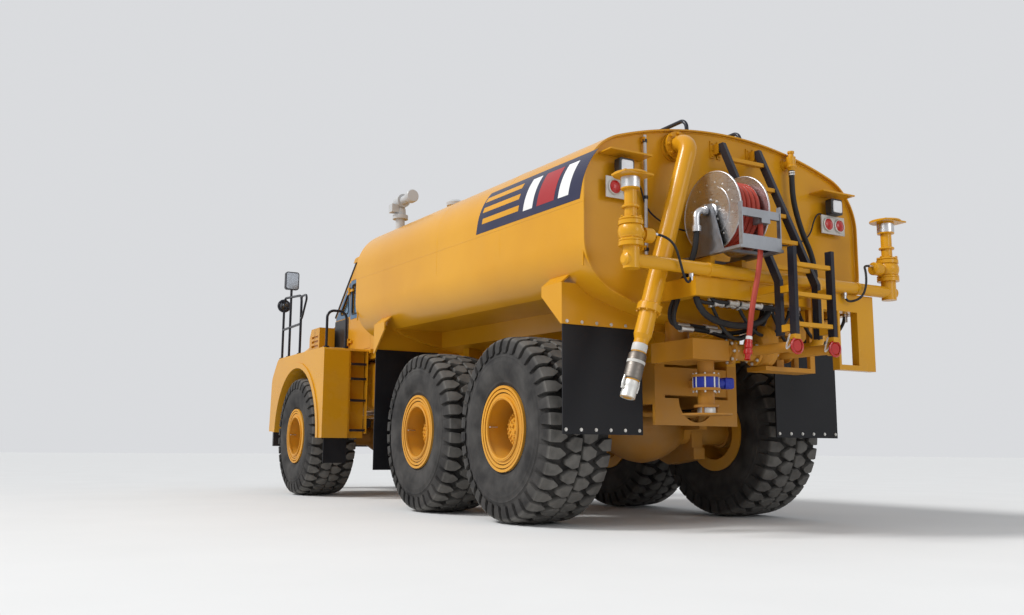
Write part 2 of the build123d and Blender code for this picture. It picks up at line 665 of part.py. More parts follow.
write(rear_frame.part, "rear_frame")

# Hitch: a trunnion in the rear frame's tube, a collar, and the eye of the steering pin
with BuildPart() as hitch:
    collar_back = HITCH_TUBE_FRONT + SWING_GAP
    eye_low = HITCH_Z - EYE_HEIGHT / 2
    eye_high = HITCH_Z + EYE_HEIGHT / 2
    add(rod((REAR_FRAME_FRONT - 60, 0, HITCH_Z), (collar_back, 0, HITCH_Z), TRUNNION_RADIUS))
    add(rod((collar_back, 0, HITCH_Z), (collar_back + 60, 0, HITCH_Z), HITCH_TUBE_RADIUS))
    add(span((collar_back + 50, PIVOT_X), (-EYE_RADIUS + 10, EYE_RADIUS - 10), (eye_low, eye_high)))
    add(rod((PIVOT_X, 0, eye_low), (PIVOT_X, 0, eye_high), EYE_RADIUS))
    add(span((CYL_REAR_X - 70, CYL_REAR_X + 70), (-CYL_REAR_Y - 60, CYL_REAR_Y + 60), (eye_low, eye_low + 40)))
    add(rod((PIVOT_X, 0, eye_low), (PIVOT_X, 0, eye_high), PIN_RADIUS + SEAT_GAP), mode=Mode.SUBTRACT)
write(hitch.part, "hitch")

# Front frame: rails, cross members, the yoke round the hitch's eye and its pin
with BuildPart() as front_frame:
    low_lug = (eye_low - SWING_GAP - LUG_THICK, eye_low - SWING_GAP)
    high_lug = (eye_high + SWING_GAP, eye_high + SWING_GAP + LUG_THICK)
    bracket_z = CYL_Z + CYL_EYE_HEIGHT + SEAT_GAP
    for side in SIDES:
        low, high = sorted((side * FRONT_RAIL_INNER, side * FRONT_RAIL_OUTER))
        add(span((YOKE_BACK, FRONT_FRAME_END), (low, high), (FRONT_RAIL_BOTTOM, FRONT_RAIL_TOP)))
        low, high = sorted((side * FRONT_RAIL_OUTER, side * (CYL_FRONT_Y + 60)))
        add(span((CYL_FRONT_X - 70, CYL_FRONT_X + 70), (low, high), (bracket_z, bracket_z + 30)))
        add(span((CYL_FRONT_X - 70, CYL_FRONT_X + 70), sorted((side * FRONT_RAIL_INNER, side * FRONT_RAIL_OUTER)),
                 (bracket_z, FRONT_RAIL_BOTTOM)))
    lug_half = EYE_RADIUS + 30
    add(span((YOKE_BACK, YOKE_BACK + YOKE_PLATE), (-FRONT_RAIL_OUTER, FRONT_RAIL_OUTER),
             (FRONT_RAIL_BOTTOM, FRONT_RAIL_TOP)))
    add(span((YOKE_BACK, YOKE_BACK + YOKE_PLATE), (-lug_half, lug_half), (low_lug[0], FRONT_RAIL_BOTTOM)))
    for cross_x in (FRONT_AXLE_X + 600, FRONT_FRAME_END - 1000, FRONT_FRAME_END - 60):
        add(span((cross_x - 60, cross_x + 60), (-FRONT_RAIL_INNER, FRONT_RAIL_INNER),
                 (FRONT_RAIL_BOTTOM + 30, FRONT_RAIL_TOP - 60)))
    for lug_low, lug_high in (low_lug, high_lug):
        add(span((PIVOT_X, YOKE_BACK), (-lug_half, lug_half), (lug_low, lug_high)))
        add(rod((PIVOT_X, 0, lug_low), (PIVOT_X, 0, lug_high), lug_half))
    add(rod((PIVOT_X, 0, low_lug[0] - 20), (PIVOT_X, 0, high_lug[1] + 20), PIN_RADIUS))
write(front_frame.part, "front_frame")

# Tank: a crowned prism that rises to the front, with recessed heads and wheel wells
with BuildPart() as tank:
    slope_way = Vector(TANK_LENGTH, 0, TANK_RISE)
    extrude(tank_section(TANK_REAR_X), amount=slope_way.length, dir=slope_way)
    extrude(tank_section(TANK_REAR_X, SHELL_LIP), amount=HEAD_INSET, mode=Mode.SUBTRACT)
    extrude(tank_section(TANK_FRONT_X, SHELL_LIP), amount=-HEAD_INSET, mode=Mode.SUBTRACT)
    well_length = WELL_FRONT_X - WELL_REAR_X
    well_way = Vector(well_length, 0, TANK_SLOPE * well_length)
    well_mid_y = (WELL_INNER_Y + TANK_HALF_WIDTH + 100) / 2
    well_width = TANK_HALF_WIDTH + 100 - WELL_INNER_Y
    well_top = WELL_TOP + tank_lift(WELL_REAR_X)
    with BuildSketch(Plane.YZ.offset(WELL_REAR_X)):
        with Locations((well_mid_y, well_top - 250), (-well_mid_y, well_top - 250)):
            Rectangle(well_width, 500)
    extrude(amount=well_way.length, dir=well_way, mode=Mode.SUBTRACT)
write(tank.part, "tank")

tank_cut = tank.part.moved(Location((0, 0, -SEAT_GAP)))
crown_cut = tank.part.moved(Location((0, 0, SEAT_GAP)))

# Manway neck on the tank's crown, with the lid's hinge ears
neck_top = tank_top_at(MANWAY_X, 0) + NECK_HEIGHT
hinge_x = MANWAY_X - LID_RADIUS - 60
hinge_z = neck_top + LID_THICK / 2
with BuildPart() as manway_neck:
    add(rod((MANWAY_X, 0, TANK_TOP), (MANWAY_X, 0, neck_top), NECK_RADIUS))
    add(rod((MANWAY_X, 0, TANK_TOP), (MANWAY_X, 0, neck_top), NECK_RADIUS - NECK_WALL), mode=Mode.SUBTRACT)
    for side in SIDES:
        add(side_plate([(hinge_x - 35, neck_top - 90), (MANWAY_X - NECK_RADIUS + 80, neck_top - 90),
                        (MANWAY_X - NECK_RADIUS - 30, neck_top - 10), (hinge_x + 35, hinge_z + 35),
                        (hinge_x - 35, hinge_z + 35)], side * 90 - 10, side * 90 + 10))
    add(rod((MANWAY_X, 0, TANK_TOP), (MANWAY_X, 0, neck_top), NECK_RADIUS - NECK_WALL), mode=Mode.SUBTRACT)
    add(rod((hinge_x, -90, hinge_z), (hinge_x, 90, hinge_z), 14))
    add(crown_cut, mode=Mode.SUBTRACT)
write(manway_neck.part, "manway_neck")

with BuildPart() as manway_lid:
    lid_low = neck_top + SEAT_GAP
    add(rod((MANWAY_X, 0, lid_low), (MANWAY_X, 0, lid_low + LID_THICK), LID_RADIUS))
    add(rod((MANWAY_X, 0, lid_low + LID_THICK), (MANWAY_X, 0, lid_low + LID_THICK + 25), LID_RADIUS - 70))
    for clamp in range(LID_CLAMPS):
        turn = radians((clamp + 0.5) * 360 / LID_CLAMPS)
        clamp_at = (MANWAY_X + LID_CLAMP_RADIUS * cos(turn), LID_CLAMP_RADIUS * sin(turn), lid_low + LID_THICK - 4)
        add(turned([(0, 24), (14, 24), (14, 13), (44, 13)], clamp_at, (0, 0, 1)))
    handle_z = lid_low + LID_THICK + 20
    add(tube_run([(MANWAY_X + 150, -90, handle_z), (MANWAY_X + 150, -90, handle_z + 65),
                  (MANWAY_X + 150, 90, handle_z + 65), (MANWAY_X + 150, 90, handle_z)], 30, 11))
    add(span((hinge_x, MANWAY_X - LID_RADIUS + 60), (-70, 70), (lid_low + 2, lid_low + LID_THICK)))
    add(rod((hinge_x, -70, hinge_z), (hinge_x, 70, hinge_z), 34))
    add(rod((hinge_x, -70, hinge_z), (hinge_x, 70, hinge_z), 14 + SEAT_GAP), mode=Mode.SUBTRACT)
write(manway_lid.part, "manway_lid")

# Cradle: stringers on the rails, bolsters across, and the wing plates over the wheels
with BuildPart() as tank_cradle:
    cradle_high = TANK_BOTTOM + TANK_RISE + 120
    for side in SIDES:
        low, high = sorted((side * REAR_RAIL_INNER, side * REAR_RAIL_OUTER))
        add(span((REAR_FRAME_END, REAR_FRAME_FRONT), (low, high), (REAR_RAIL_TOP, cradle_high)))
    for bolster_x in (REAR_FRAME_END + 200, BOGIE_X, MID_AXLE_X + 700, REAR_FRAME_FRONT - 100):
        add(span((bolster_x - BOLSTER_THICK / 2, bolster_x + BOLSTER_THICK / 2), (-BOLSTER_HALF, BOLSTER_HALF),
                 (REAR_RAIL_TOP + 60, cradle_high)))
    for wing_x, wing_bottom, way in ((WING_REAR_X, WING_REAR_Z, 1), (WING_FRONT_X, WING_FRONT_Z, -1)):
        shoulder_z = wing_bottom + WING_SHOULDER_RISE
        for side in SIDES:
            low, high = sorted((side * REAR_RAIL_OUTER, side * WING_OUTER_Y))
            add(span(sorted((wing_x, wing_x - way * WING_PLATE)), (low, high), (wing_bottom, shoulder_z)))
            low, high = sorted((side * (WING_OUTER_Y - WING_PLATE), side * WING_OUTER_Y))
            add(side_plate([(wing_x, wing_bottom), (wing_x, shoulder_z), (wing_x + way * WING_RETURN, shoulder_z),
                            (wing_x + way * WING_RETURN, shoulder_z - WING_ROOF_DROP)], low, high))
            with BuildSketch(Plane.YZ.offset(wing_x)):
                with BuildLine():
                    Polyline((side * WING_OUTER_Y, shoulder_z), (side * WING_OUTER_Y, shoulder_z - WING_PLATE),
                             (side * (WING_OUTER_Y - WING_ROOF_RUN), shoulder_z + WING_ROOF_RISE),
                             (side * (WING_OUTER_Y - WING_ROOF_RUN), shoulder_z + WING_ROOF_RISE + WING_PLATE), close=True)
                make_face()
            extrude(amount=way * WING_RETURN)
    add(tank_cut, mode=Mode.SUBTRACT)
write(tank_cradle.part, "tank_cradle")

# Mud flaps behind and ahead of the bogie
with BuildPart() as mud_flaps:
    for wing_x, flap_low, flap_high, way in ((WING_REAR_X, FLAP_REAR_LOW, WING_REAR_Z + FLAP_LAP, 1),
                                             (WING_FRONT_X, FLAP_FRONT_LOW, WING_FRONT_Z + FLAP_LAP, -1)):
        for side in SIDES:
            low, high = sorted((side * FLAP_INNER_Y, side * (WING_OUTER_Y - WING_PLATE - 3)))
            add(span(sorted((wing_x, wing_x + way * FLAP_THICK)), (low, high), (flap_low, flap_high)))
write(mud_flaps.part, "mud_flaps")

# Rear platform, its hanging guard and the reel's stand
with BuildPart() as rear_platform:
    platform_bottom = PLATFORM_TOP - PLATFORM_DEPTH
    add(span((PLATFORM_REAR_X, PLATFORM_REAR_X + BEAM_WALL), (PLATFORM_RIGHT_Y, PLATFORM_LEFT_Y),
             (platform_bottom, PLATFORM_TOP)))
    for arm_y in (PLATFORM_LEFT_Y - 60, 60.0, -600.0, PLATFORM_RIGHT_Y + 120):
        add(span((PLATFORM_REAR_X + BEAM_WALL, HEAD_X), (arm_y - 60, arm_y + 60),
                 (platform_bottom, PLATFORM_TOP)))
    add(span((PLATFORM_REAR_X + BEAM_WALL, TANK_REAR_X), (PLATFORM_RIGHT_Y + 100, PLATFORM_LEFT_Y),
             (PLATFORM_TOP - DECK_THICK, PLATFORM_TOP)))
    guard_x = (PLATFORM_REAR_X, PLATFORM_REAR_X + 80)
    guard_far = PLATFORM_RIGHT_Y + GUARD_WIDTH
    add(span(guard_x, (PLATFORM_RIGHT_Y, PLATFORM_RIGHT_Y + GUARD_PLATE), (GUARD_BOTTOM, platform_bottom)))
    add(span(guard_x, (PLATFORM_RIGHT_Y, guard_far), (GUARD_BOTTOM, GUARD_BOTTOM + GUARD_FOOT)))
    add(span(guard_x, (guard_far - 30, guard_far), (GUARD_BOTTOM, platform_bottom)))
    post_half = STAND_POST / 2
    stand_x = (PLATFORM_REAR_X + 60, HEAD_X - 140)
    stand_y = (REEL_RIGHT_Y - REEL_SIDE_GAP + 30, REEL_LEFT_Y + REEL_SIDE_GAP - 30)
    for post_y in stand_y:
        for post_x in stand_x:
            add(span((post_x - post_half, post_x + post_half), (post_y - post_half, post_y + post_half),
                     (PLATFORM_TOP, STAND_TOP)))
        add(span((stand_x[0] - post_half, stand_x[1] + post_half), (post_y - post_half, post_y + post_half),
                 (STAND_TOP - STAND_POST, STAND_TOP)))
    add(tank.part, mode=Mode.SUBTRACT)
write(rear_platform.part, "rear_platform")

# Hose reel: a frame on the stand, the drum on its shaft and the wound hose
reel_left = REEL_LEFT_Y + REEL_SIDE_GAP
reel_right = REEL_RIGHT_Y - REEL_SIDE_GAP
guide_x = REEL_X - WOUND_RADIUS - 62
guide_y = GUIDE_Y
guide_low = REEL_Z - GUIDE_DROP
with BuildPart() as reel_frame:
    upright_x = REEL_X - REEL_RADIUS - 45
    for side_low in (reel_left, reel_right - REEL_SIDE):
        side_high = side_low + REEL_SIDE
        add(span((upright_x - 20, HEAD_X - 110), (side_low - 20, side_high + 20), (STAND_TOP, STAND_TOP + 25)))
        add(side_plate([(REEL_X - 200, STAND_TOP + 25), (REEL_X + 200, STAND_TOP + 25), (REEL_X + 60, REEL_Z + 60),
                        (REEL_X - 60, REEL_Z + 60)], side_low, side_high))
        add(span((upright_x - 20, upright_x + 20), (side_low, side_high), (STAND_TOP + 25, guide_low + 4 * REEL_BAR)))
    add(span((REEL_X - 260, REEL_X - 220), (reel_right, reel_left), (STAND_TOP, STAND_TOP + 25)))
    add(span((REEL_X + 220, REEL_X + 260), (reel_right, reel_left), (STAND_TOP, STAND_TOP + 25)))
    add(span((upright_x - 20, upright_x - 12), (reel_right, reel_left), (STAND_TOP, STAND_TOP + REEL_APRON)))
    for bar_z in (guide_low + REEL_BAR, guide_low + 2.75 * REEL_BAR - REEL_BAR):
        add(span((upright_x - 15, upright_x + 15), (reel_right, reel_left), (bar_z, bar_z + REEL_BAR)))
    add(span((upright_x - 15, guide_x + 40), (guide_y - 50, guide_y + 50), (guide_low, guide_low + 80)))
    add(rod((REEL_X, reel_right - 50, REEL_Z), (REEL_X, reel_left + 50, REEL_Z), SHAFT_RADIUS + SEAT_GAP),
        mode=Mode.SUBTRACT)
write(reel_frame.part, "reel_frame")

with BuildPart() as reel_drum:
    for disc_low in (REEL_RIGHT_Y, REEL_LEFT_Y - DISC_THICK):
        add(rod((REEL_X, disc_low, REEL_Z), (REEL_X, disc_low + DISC_THICK, REEL_Z), REEL_RADIUS))
    add(rod((REEL_X, REEL_RIGHT_Y, REEL_Z), (REEL_X, REEL_LEFT_Y, REEL_Z), DRUM_RADIUS))
    for face_y, way in ((REEL_LEFT_Y, 1), (REEL_RIGHT_Y, -1)):
        add(turned([(-2, 75), (12, 75), (22, 60), (22, 30)], (REEL_X, face_y, REEL_Z), (0, way, 0)))
        add(turned([(-2, REEL_RADIUS * 0.62), (6, REEL_RADIUS * 0.62), (6, REEL_RADIUS * 0.55)],
                   (REEL_X, face_y, REEL_Z), (0, way, 0)))
    add(rod((REEL_X, reel_right - 30, REEL_Z), (REEL_X, reel_left + 30, REEL_Z), SHAFT_RADIUS))
write(reel_drum.part, "reel_drum")

with BuildPart() as wound_hose:
    wound_low = REEL_RIGHT_Y + DISC_THICK + SEAT_GAP
    wound_high = REEL_LEFT_Y - DISC_THICK - SEAT_GAP
    add(rod((REEL_X, wound_low, REEL_Z), (REEL_X, wound_high, REEL_Z), WOUND_RADIUS))
    add(rod((REEL_X, wound_low, REEL_Z), (REEL_X, wound_high, REEL_Z), DRUM_RADIUS + SEAT_GAP), mode=Mode.SUBTRACT)
write(wound_hose.part, "wound_hose")

# Hanging end of the hose, from the reel's guide down to its nozzle
TAIL_ROUTE = [
    (guide_x, guide_y, guide_low), (guide_x, guide_y, 2450.0), (guide_x + 8, 432.0, 2220.0),
    (guide_x + 14, 490.0, 2000.0), (guide_x + 9, 545.0, 1790.0), (guide_x + 1, 580.0, 1600.0),
]


def route_radii(points):
    """Arc radius at each inner point: 0.45 of the shorter run over the tangent of half the turn."""
    radii = []
    for before, here, after in zip(points, points[1:], points[2:]):
        first = Vector(*here) - Vector(*before)
        second = Vector(*after) - Vector(*here)
        half_turn = radians(first.get_angle(second)) / 2
        radii.append(0.45 * min(first.length, second.length) * cos(half_turn) / sin(half_turn))
    return radii


tail_radii = route_radii(TAIL_ROUTE)
print("hose tail radii", [round(radius) for radius in tail_radii])
with BuildPart() as hose_tail:
    add(tube_run(TAIL_ROUTE, tail_radii, HOSE_RADIUS))
write(hose_tail.part, "hose_tail")

with BuildPart() as hose_nozzle:
    tail_end = Vector(*TAIL_ROUTE[-1])
    tail_way = (tail_end - Vector(*TAIL_ROUTE[-2])).normalized()
    # start, end and radius of each step along the nozzle
    for start, end, radius in ((0, 60, 34), (60, 110, 40), (110, 170, 27)):
        add(rod(tuple(tail_end + tail_way * start), tuple(tail_end + tail_way * end), radius))
write(hose_nozzle.part, "hose_nozzle")

# Ladders: upper stringers down the head, a lower ladder behind them, and grab rails on the crown
ladder_top = (HEAD_X - LADDER_STANDOFF, TANK_TOP - LADDER_TOP_DROP)
ladder_knee = (TANK_REAR_X - LADDER_KNEE_REACH, LADDER_KNEE_Z)
ladder_foot_z = LADDER_FOOT_Z
lower_ladder_top = LOWER_LADDER_TOP
with BuildPart() as ladder_rails:
    for rail_y in (LADDER_LEFT_Y, LADDER_RIGHT_Y):
        with BuildSketch(Plane.XZ.offset(-rail_y)):
            with BuildLine():
                Polyline((HEAD_X, ladder_top[1]), ladder_top, ladder_knee, (ladder_knee[0], ladder_foot_z))
            trace(line_width=STRINGER_DEPTH)
        extrude(amount=STRINGER_WIDTH / 2, both=True)
        add(span((LADDER_TAIL_X, LADDER_TAIL_X + STRINGER_DEPTH), (rail_y - STRINGER_WIDTH / 2,
                 rail_y + STRINGER_WIDTH / 2), (ladder_foot_z, lower_ladder_top)))
        grab_y = rail_y + GRAB_OUT * (1 if rail_y > 0 else -1)
        grab_x = (TANK_REAR_X + GRAB_SET, TANK_REAR_X + GRAB_SET + GRAB_LENGTH)
        grab_z = tank_top_at(grab_x[1], grab_y)
        add(tube_run([(grab_x[0], grab_y, grab_z - 30), (grab_x[0], grab_y, grab_z + GRAB_HEIGHT),
                      (grab_x[1], grab_y, grab_z + GRAB_HEIGHT), (grab_x[1], grab_y, grab_z - 10)], 90, RAIL_TUBE))
    add(crown_cut, mode=Mode.SUBTRACT)
write(ladder_rails.part, "ladder_rails")

with BuildPart() as ladder_rungs:
    rung_high = LADDER_LEFT_Y - STRINGER_WIDTH / 2
    rung_low = LADDER_RIGHT_Y + STRINGER_WIDTH / 2
    rungs = [(ladder_top[0] + (ladder_knee[0] - ladder_top[0]) * share, ladder_top[1]
              + (ladder_knee[1] - ladder_top[1]) * share) for share in (0.1, 0.3, 0.5, 0.7, 0.9)]
    rungs += [(LADDER_TAIL_X + STRINGER_DEPTH / 2, ladder_foot_z + step) for step in (90, 350, 610)]
    rung_half = (RUNG_DEPTH / 2, RUNG_THICK / 2)
    outlet_top = LADDER_FOOT_Z - OUTLET_DROP + OUTLET_FLANGE
    for rung_x, rung_z in rungs:
        add(span((rung_x - rung_half[0], rung_x + rung_half[0]), (rung_low, rung_high),
                 (rung_z - rung_half[1], rung_z + rung_half[1])))
    for rail_y in (LADDER_LEFT_Y, LADDER_RIGHT_Y):
        rail_span = (rail_y - STRINGER_WIDTH / 2, rail_y + STRINGER_WIDTH / 2)
        for foot_z in (ladder_foot_z + 30, ladder_foot_z + 370):
            add(span((LADDER_TAIL_X + STRINGER_DEPTH, ladder_knee[0] - STRINGER_DEPTH / 2), rail_span,
                     (foot_z, foot_z + 60)))
        add(span((LADDER_TAIL_X, LADDER_TAIL_X + STRINGER_DEPTH), (rail_y - 30, rail_y + 30),
                 (outlet_top + SEAT_GAP, ladder_foot_z)))
        tie_z = PLATFORM_TOP - PLATFORM_DEPTH / 2
        add(span((PLATFORM_REAR_X - 10, PLATFORM_REAR_X), (rail_y - 60, rail_y + 60), (tie_z - 55, tie_z + 45)))
        add(span((ladder_knee[0] + STRINGER_DEPTH / 2, PLATFORM_REAR_X - 10), rail_span, (tie_z - 35, tie_z + 25)))
        # Flanged brackets that hold the stringer's upper end on the head
        for flange_side in SIDES:
            edge = rail_y + flange_side * STRINGER_WIDTH / 2
            add(span((HEAD_X - 14, HEAD_X), sorted((edge, edge + flange_side * 45)),
                     (ladder_top[1] - 95, ladder_top[1] + 75)))
            add(span((HEAD_X - 80, HEAD_X - 14), sorted((edge, edge + flange_side * 10)),
                     (ladder_top[1] - 60, ladder_top[1] + 40)))
write(ladder_rungs.part, "ladder_rungs")

# Spray manifold with a riser, valve and spray head at each end, and its feed from the pump
with BuildPart() as spray_manifold:
    manifold_z = PLATFORM_TOP + MANIFOLD_RADIUS + SEAT_GAP
    add(rod((MANIFOLD_X, -RISER_Y, manifold_z), (MANIFOLD_X, RISER_Y, manifold_z), MANIFOLD_RADIUS))
    for saddle_y in (PLATFORM_RIGHT_Y + 270, PLATFORM_RIGHT_Y + 620, PLATFORM_LEFT_Y - 120):
        add(span((PLATFORM_REAR_X, PLATFORM_REAR_X + 50), (saddle_y - 30, saddle_y + 30),
                 (PLATFORM_TOP, manifold_z)))
    for side in SIDES:
        # height and radius of each corner up the riser: elbow, flange pairs, valve body, nipple and head
        riser = [(manifold_z - 75, 70), (VALVE_Z - 112, 70), (VALVE_Z - 112, 104), (VALVE_Z - 78, 104),
                 (VALVE_Z - 66, 82), (VALVE_Z - 40, 98), (VALVE_Z + 40, 98), (VALVE_Z + 66, 82), (VALVE_Z + 66, 104),
                 (VALVE_Z + 100, 104), (VALVE_Z + 100, 60), (VALVE_Z + 130, 60), (VALVE_Z + 130, 38),
                 (SPRAY_PLATE_Z - 120, 38), (SPRAY_PLATE_Z - 110, 80), (SPRAY_PLATE_Z, 80)]
        add(turned(riser, (MANIFOLD_X, side * RISER_Y, 0), (0, 0, 1)))
        add(turned([(60, 46), (120, 46), (120, 64), (210, 64), (220, 54)], (MANIFOLD_X, side * RISER_Y, VALVE_Z),
                   (0, -side, 0)))
        add(turned([(0, MANIFOLD_RADIUS), (70, MANIFOLD_RADIUS), (85, MANIFOLD_RADIUS - 22)],
                   (MANIFOLD_X, side * RISER_Y, manifold_z), (0, side, 0)))
        add(span((MANIFOLD_X - 130, MANIFOLD_X + 60), (side * RISER_Y - 150, side * RISER_Y + 150),
                 (SPRAY_PLATE_Z, SPRAY_PLATE_Z + 15)))
    feed_x = MANIFOLD_X - 60
    feed_y = PUMP_END_Y - 105
    add(tube_run([(MANIFOLD_X, feed_y, manifold_z), (feed_x, feed_y, manifold_z - 30), (feed_x, feed_y, PUMP_Z),
                  (PUMP_X, feed_y, PUMP_Z), (PUMP_X, PUMP_END_Y - SEAT_GAP, PUMP_Z)], [20, 90, 80], MANIFOLD_RADIUS - 4))
    add(turned([(0, 110), (22, 110)], (PUMP_X, PUMP_END_Y - SEAT_GAP, PUMP_Z), (0, -1, 0)))
    breather_z = TANK_TOP - BREATHER_DROP
    breather_x = HEAD_X - 90
    add(rod((HEAD_X, BREATHER_Y, breather_z), (breather_x, BREATHER_Y, breather_z), 40))
    add(turned([(-80, 34), (-60, 40), (-46, 52), (-30, 52), (-22, 40), (20, 46), (60, 46), (72, 30)],
               (breather_x, BREATHER_Y, breather_z), (0, 0, 1)))
write(spray_manifold.part, "spray_manifold")

# Fill pipe: an elbow off the head, then a stepped run down to its coupling
with BuildPart() as fill_pipe:
    fill_top = Vector(FILL_X, FILL_TOP_Y, FILL_TOP_Z)
    fill_end = Vector(FILL_X, FILL_END_Y, FILL_END_Z)
    fill_way = (fill_end - fill_top).normalized()
    fill_length = (fill_end - fill_top).length
    elbow_end = fill_top + fill_way * 320
    add(tube_run([(HEAD_X, FILL_TOP_Y, FILL_TOP_Z), tuple(fill_top), tuple(elbow_end)], 150, FILL_RADIUS))
    add(rod((HEAD_X, FILL_TOP_Y, FILL_TOP_Z), (HEAD_X - 30, FILL_TOP_Y, FILL_TOP_Z), FILL_RADIUS + 50))
    # distance up from the coupling's end, and radius, of each corner: neck, bulge, reducer, collar and pipe
    fill_run = [(0, FILL_NECK_RADIUS), (156, FILL_NECK_RADIUS), (170, FILL_NECK_RADIUS + 12),
                (380, FILL_NECK_RADIUS + 12), (400, FILL_NECK_RADIUS), (516, FILL_NECK_RADIUS), (560, FILL_RADIUS - 6),
                (776, FILL_RADIUS - 6), (776, FILL_RADIUS + 24), (836, FILL_RADIUS + 24), (850, FILL_RADIUS),
                (fill_length - 320, FILL_RADIUS)]
    add(turned(fill_run, tuple(fill_end), tuple(fill_way * -1)))
    gauge_x = HEAD_X - 40
    gauge_top = TANK_TOP - GAUGE_TOP_DROP
    add(rod((gauge_x, GAUGE_Y, GAUGE_BOTTOM), (gauge_x, GAUGE_Y, gauge_top), 14))
    for clip_z in (GAUGE_BOTTOM + 20, gauge_top - 40):
        add(span((gauge_x - 15, HEAD_X), (GAUGE_Y - 20, GAUGE_Y + 20), (clip_z, clip_z + 40)))
write(fill_pipe.part, "fill_pipe")

# Water pump under the tank's tail: sump box, suction pipe, volute, dump pipe and splash plate
with BuildPart() as water_pump:
    sump_mid_y = sum(SUMP_Y) / 2
    sump_front = TANK_REAR_X + SUMP_FRONT
    add(span((PUMP_X - 60, sump_front), SUMP_Y, SUMP_Z))
    add(rod((sump_front - 120, sump_mid_y, SUMP_Z[1]), (sump_front - 120, sump_mid_y, TANK_BOTTOM + 120), 110))
    # distance to the right of the sump, and radius, of each corner: suction pipe with flanges, volute and bearing frame
    pump_line = [(0, 75), (30, 75), (30, 115), (60, 115), (60, 75), (330, 75), (330, 110), (360, 110)]
    add(turned(pump_line, (PUMP_X, SUMP_Y[0], PUMP_Z - 60), (0, -1, 0)))
    volute = [(0, 120), (30, VOLUTE_RADIUS - 30), (60, VOLUTE_RADIUS), (120, VOLUTE_RADIUS), (150, VOLUTE_RADIUS - 30),
              (165, 110), (360, 95), (375, 130), (400, 130)]
    add(turned(volute, (PUMP_X, PUMP_END_Y + volute[-1][0], PUMP_Z), (0, -1, 0)))
    base_top = PUMP_Z - VOLUTE_RADIUS + 20
    base_y = (PUMP_END_Y - 255, PUMP_END_Y + 375)
    add(span((PUMP_X - 120, PUMP_X + 120), base_y, (base_top - 40, base_top)))
    add(span((PUMP_X - 40, PUMP_X + 40), (PUMP_END_Y + 65, PUMP_END_Y + 155), (base_top, PUMP_Z)))
    hanger_top = PLATFORM_TOP - PLATFORM_DEPTH - SEAT_GAP
    for hanger_x in (PUMP_X - 120, PUMP_X + 80):
        add(span((hanger_x, hanger_x + 40), (base_y[0], base_y[0] + 60), (base_top - 40, hanger_top)))
    for outlet_y in (LADDER_LEFT_Y, LADDER_RIGHT_Y):
        outlet = [(0, 45), (OUTLET_REACH - 40, 45), (OUTLET_REACH - 40, OUTLET_FLANGE), (OUTLET_REACH, OUTLET_FLANGE)]
        add(turned(outlet, (PUMP_X, outlet_y, LADDER_FOOT_Z - OUTLET_DROP), (-1, 0, 0)))
    dump_top = SUMP_Z[0]
    # height and radius of each corner of the dump pipe: neck, lower flange, valve body between flanges, and pipe
    dump = [(dump_top - 460, 78), (dump_top - 412, 78), (dump_top - 412, 110), (dump_top - 388, 110), (dump_top - 388, 75),
            (dump_top - 262, 75), (dump_top - 262, 128), (dump_top - 238, 128), (dump_top - 238, 110),
            (dump_top - 142, 110), (dump_top - 142, 128), (dump_top - 118, 128), (dump_top - 118, 75), (dump_top, 75)]
    add(turned(dump, (DUMP_X, DUMP_Y, 0), (0, 0, 1)))
    add(rod((DUMP_X, DUMP_Y, dump_top - 480), (DUMP_X, DUMP_Y, dump_top - 466), 225))
    for turn in (0, 120, 240):
        post = (DUMP_X + 95 * cos(radians(turn)), DUMP_Y + 95 * sin(radians(turn)))
        add(rod((*post, dump_top - 470), (*post, dump_top - 400), 10))
    add(tank_cut, mode=Mode.SUBTRACT)
write(water_pump.part, "water_pump")

# Breather hose down the head, held by its fitting and the platform
with BuildPart() as breather_hose:
    breather_route = [
        (breather_x, BREATHER_Y, breather_z - 80), (breather_x, BREATHER_Y - 5, breather_z - 380),
        (breather_x - 5, BREATHER_Y - 90, breather_z - 660), (breather_x - 20, BREATHER_Y - 250, breather_z - 980),
        (breather_x - 20, BREATHER_Y - 250, PLATFORM_TOP),
    ]
    add(tube_run(breather_route, route_radii(breather_route), BREATHER_RADIUS))
write(breather_hose.part, "breather_hose")

# Lamp plates and visors on the head, with their lamps
with BuildPart() as lamp_brackets:
    plate_x = (HEAD_X - 70, HEAD_X - 58)
    visor_z = TANK_TOP - VISOR_DROP
    for side in SIDES:
        lamp_y = side * LAMP_Y
        add(span(plate_x, (lamp_y - LAMP_PLATE[0] / 2, lamp_y + LAMP_PLATE[0] / 2),
                 (LAMP_Z - LAMP_PLATE[1] / 2, LAMP_Z + LAMP_PLATE[1] / 2)))
        add(span((plate_x[1], HEAD_X), (lamp_y - 30, lamp_y + 30), (LAMP_Z - 40, LAMP_Z + 40)))
        add(span((HEAD_X - 190, HEAD_X), sorted((lamp_y - side * 255, lamp_y + side * 200)), (visor_z, visor_z + 12)))
write(lamp_brackets.part, "lamp_brackets")

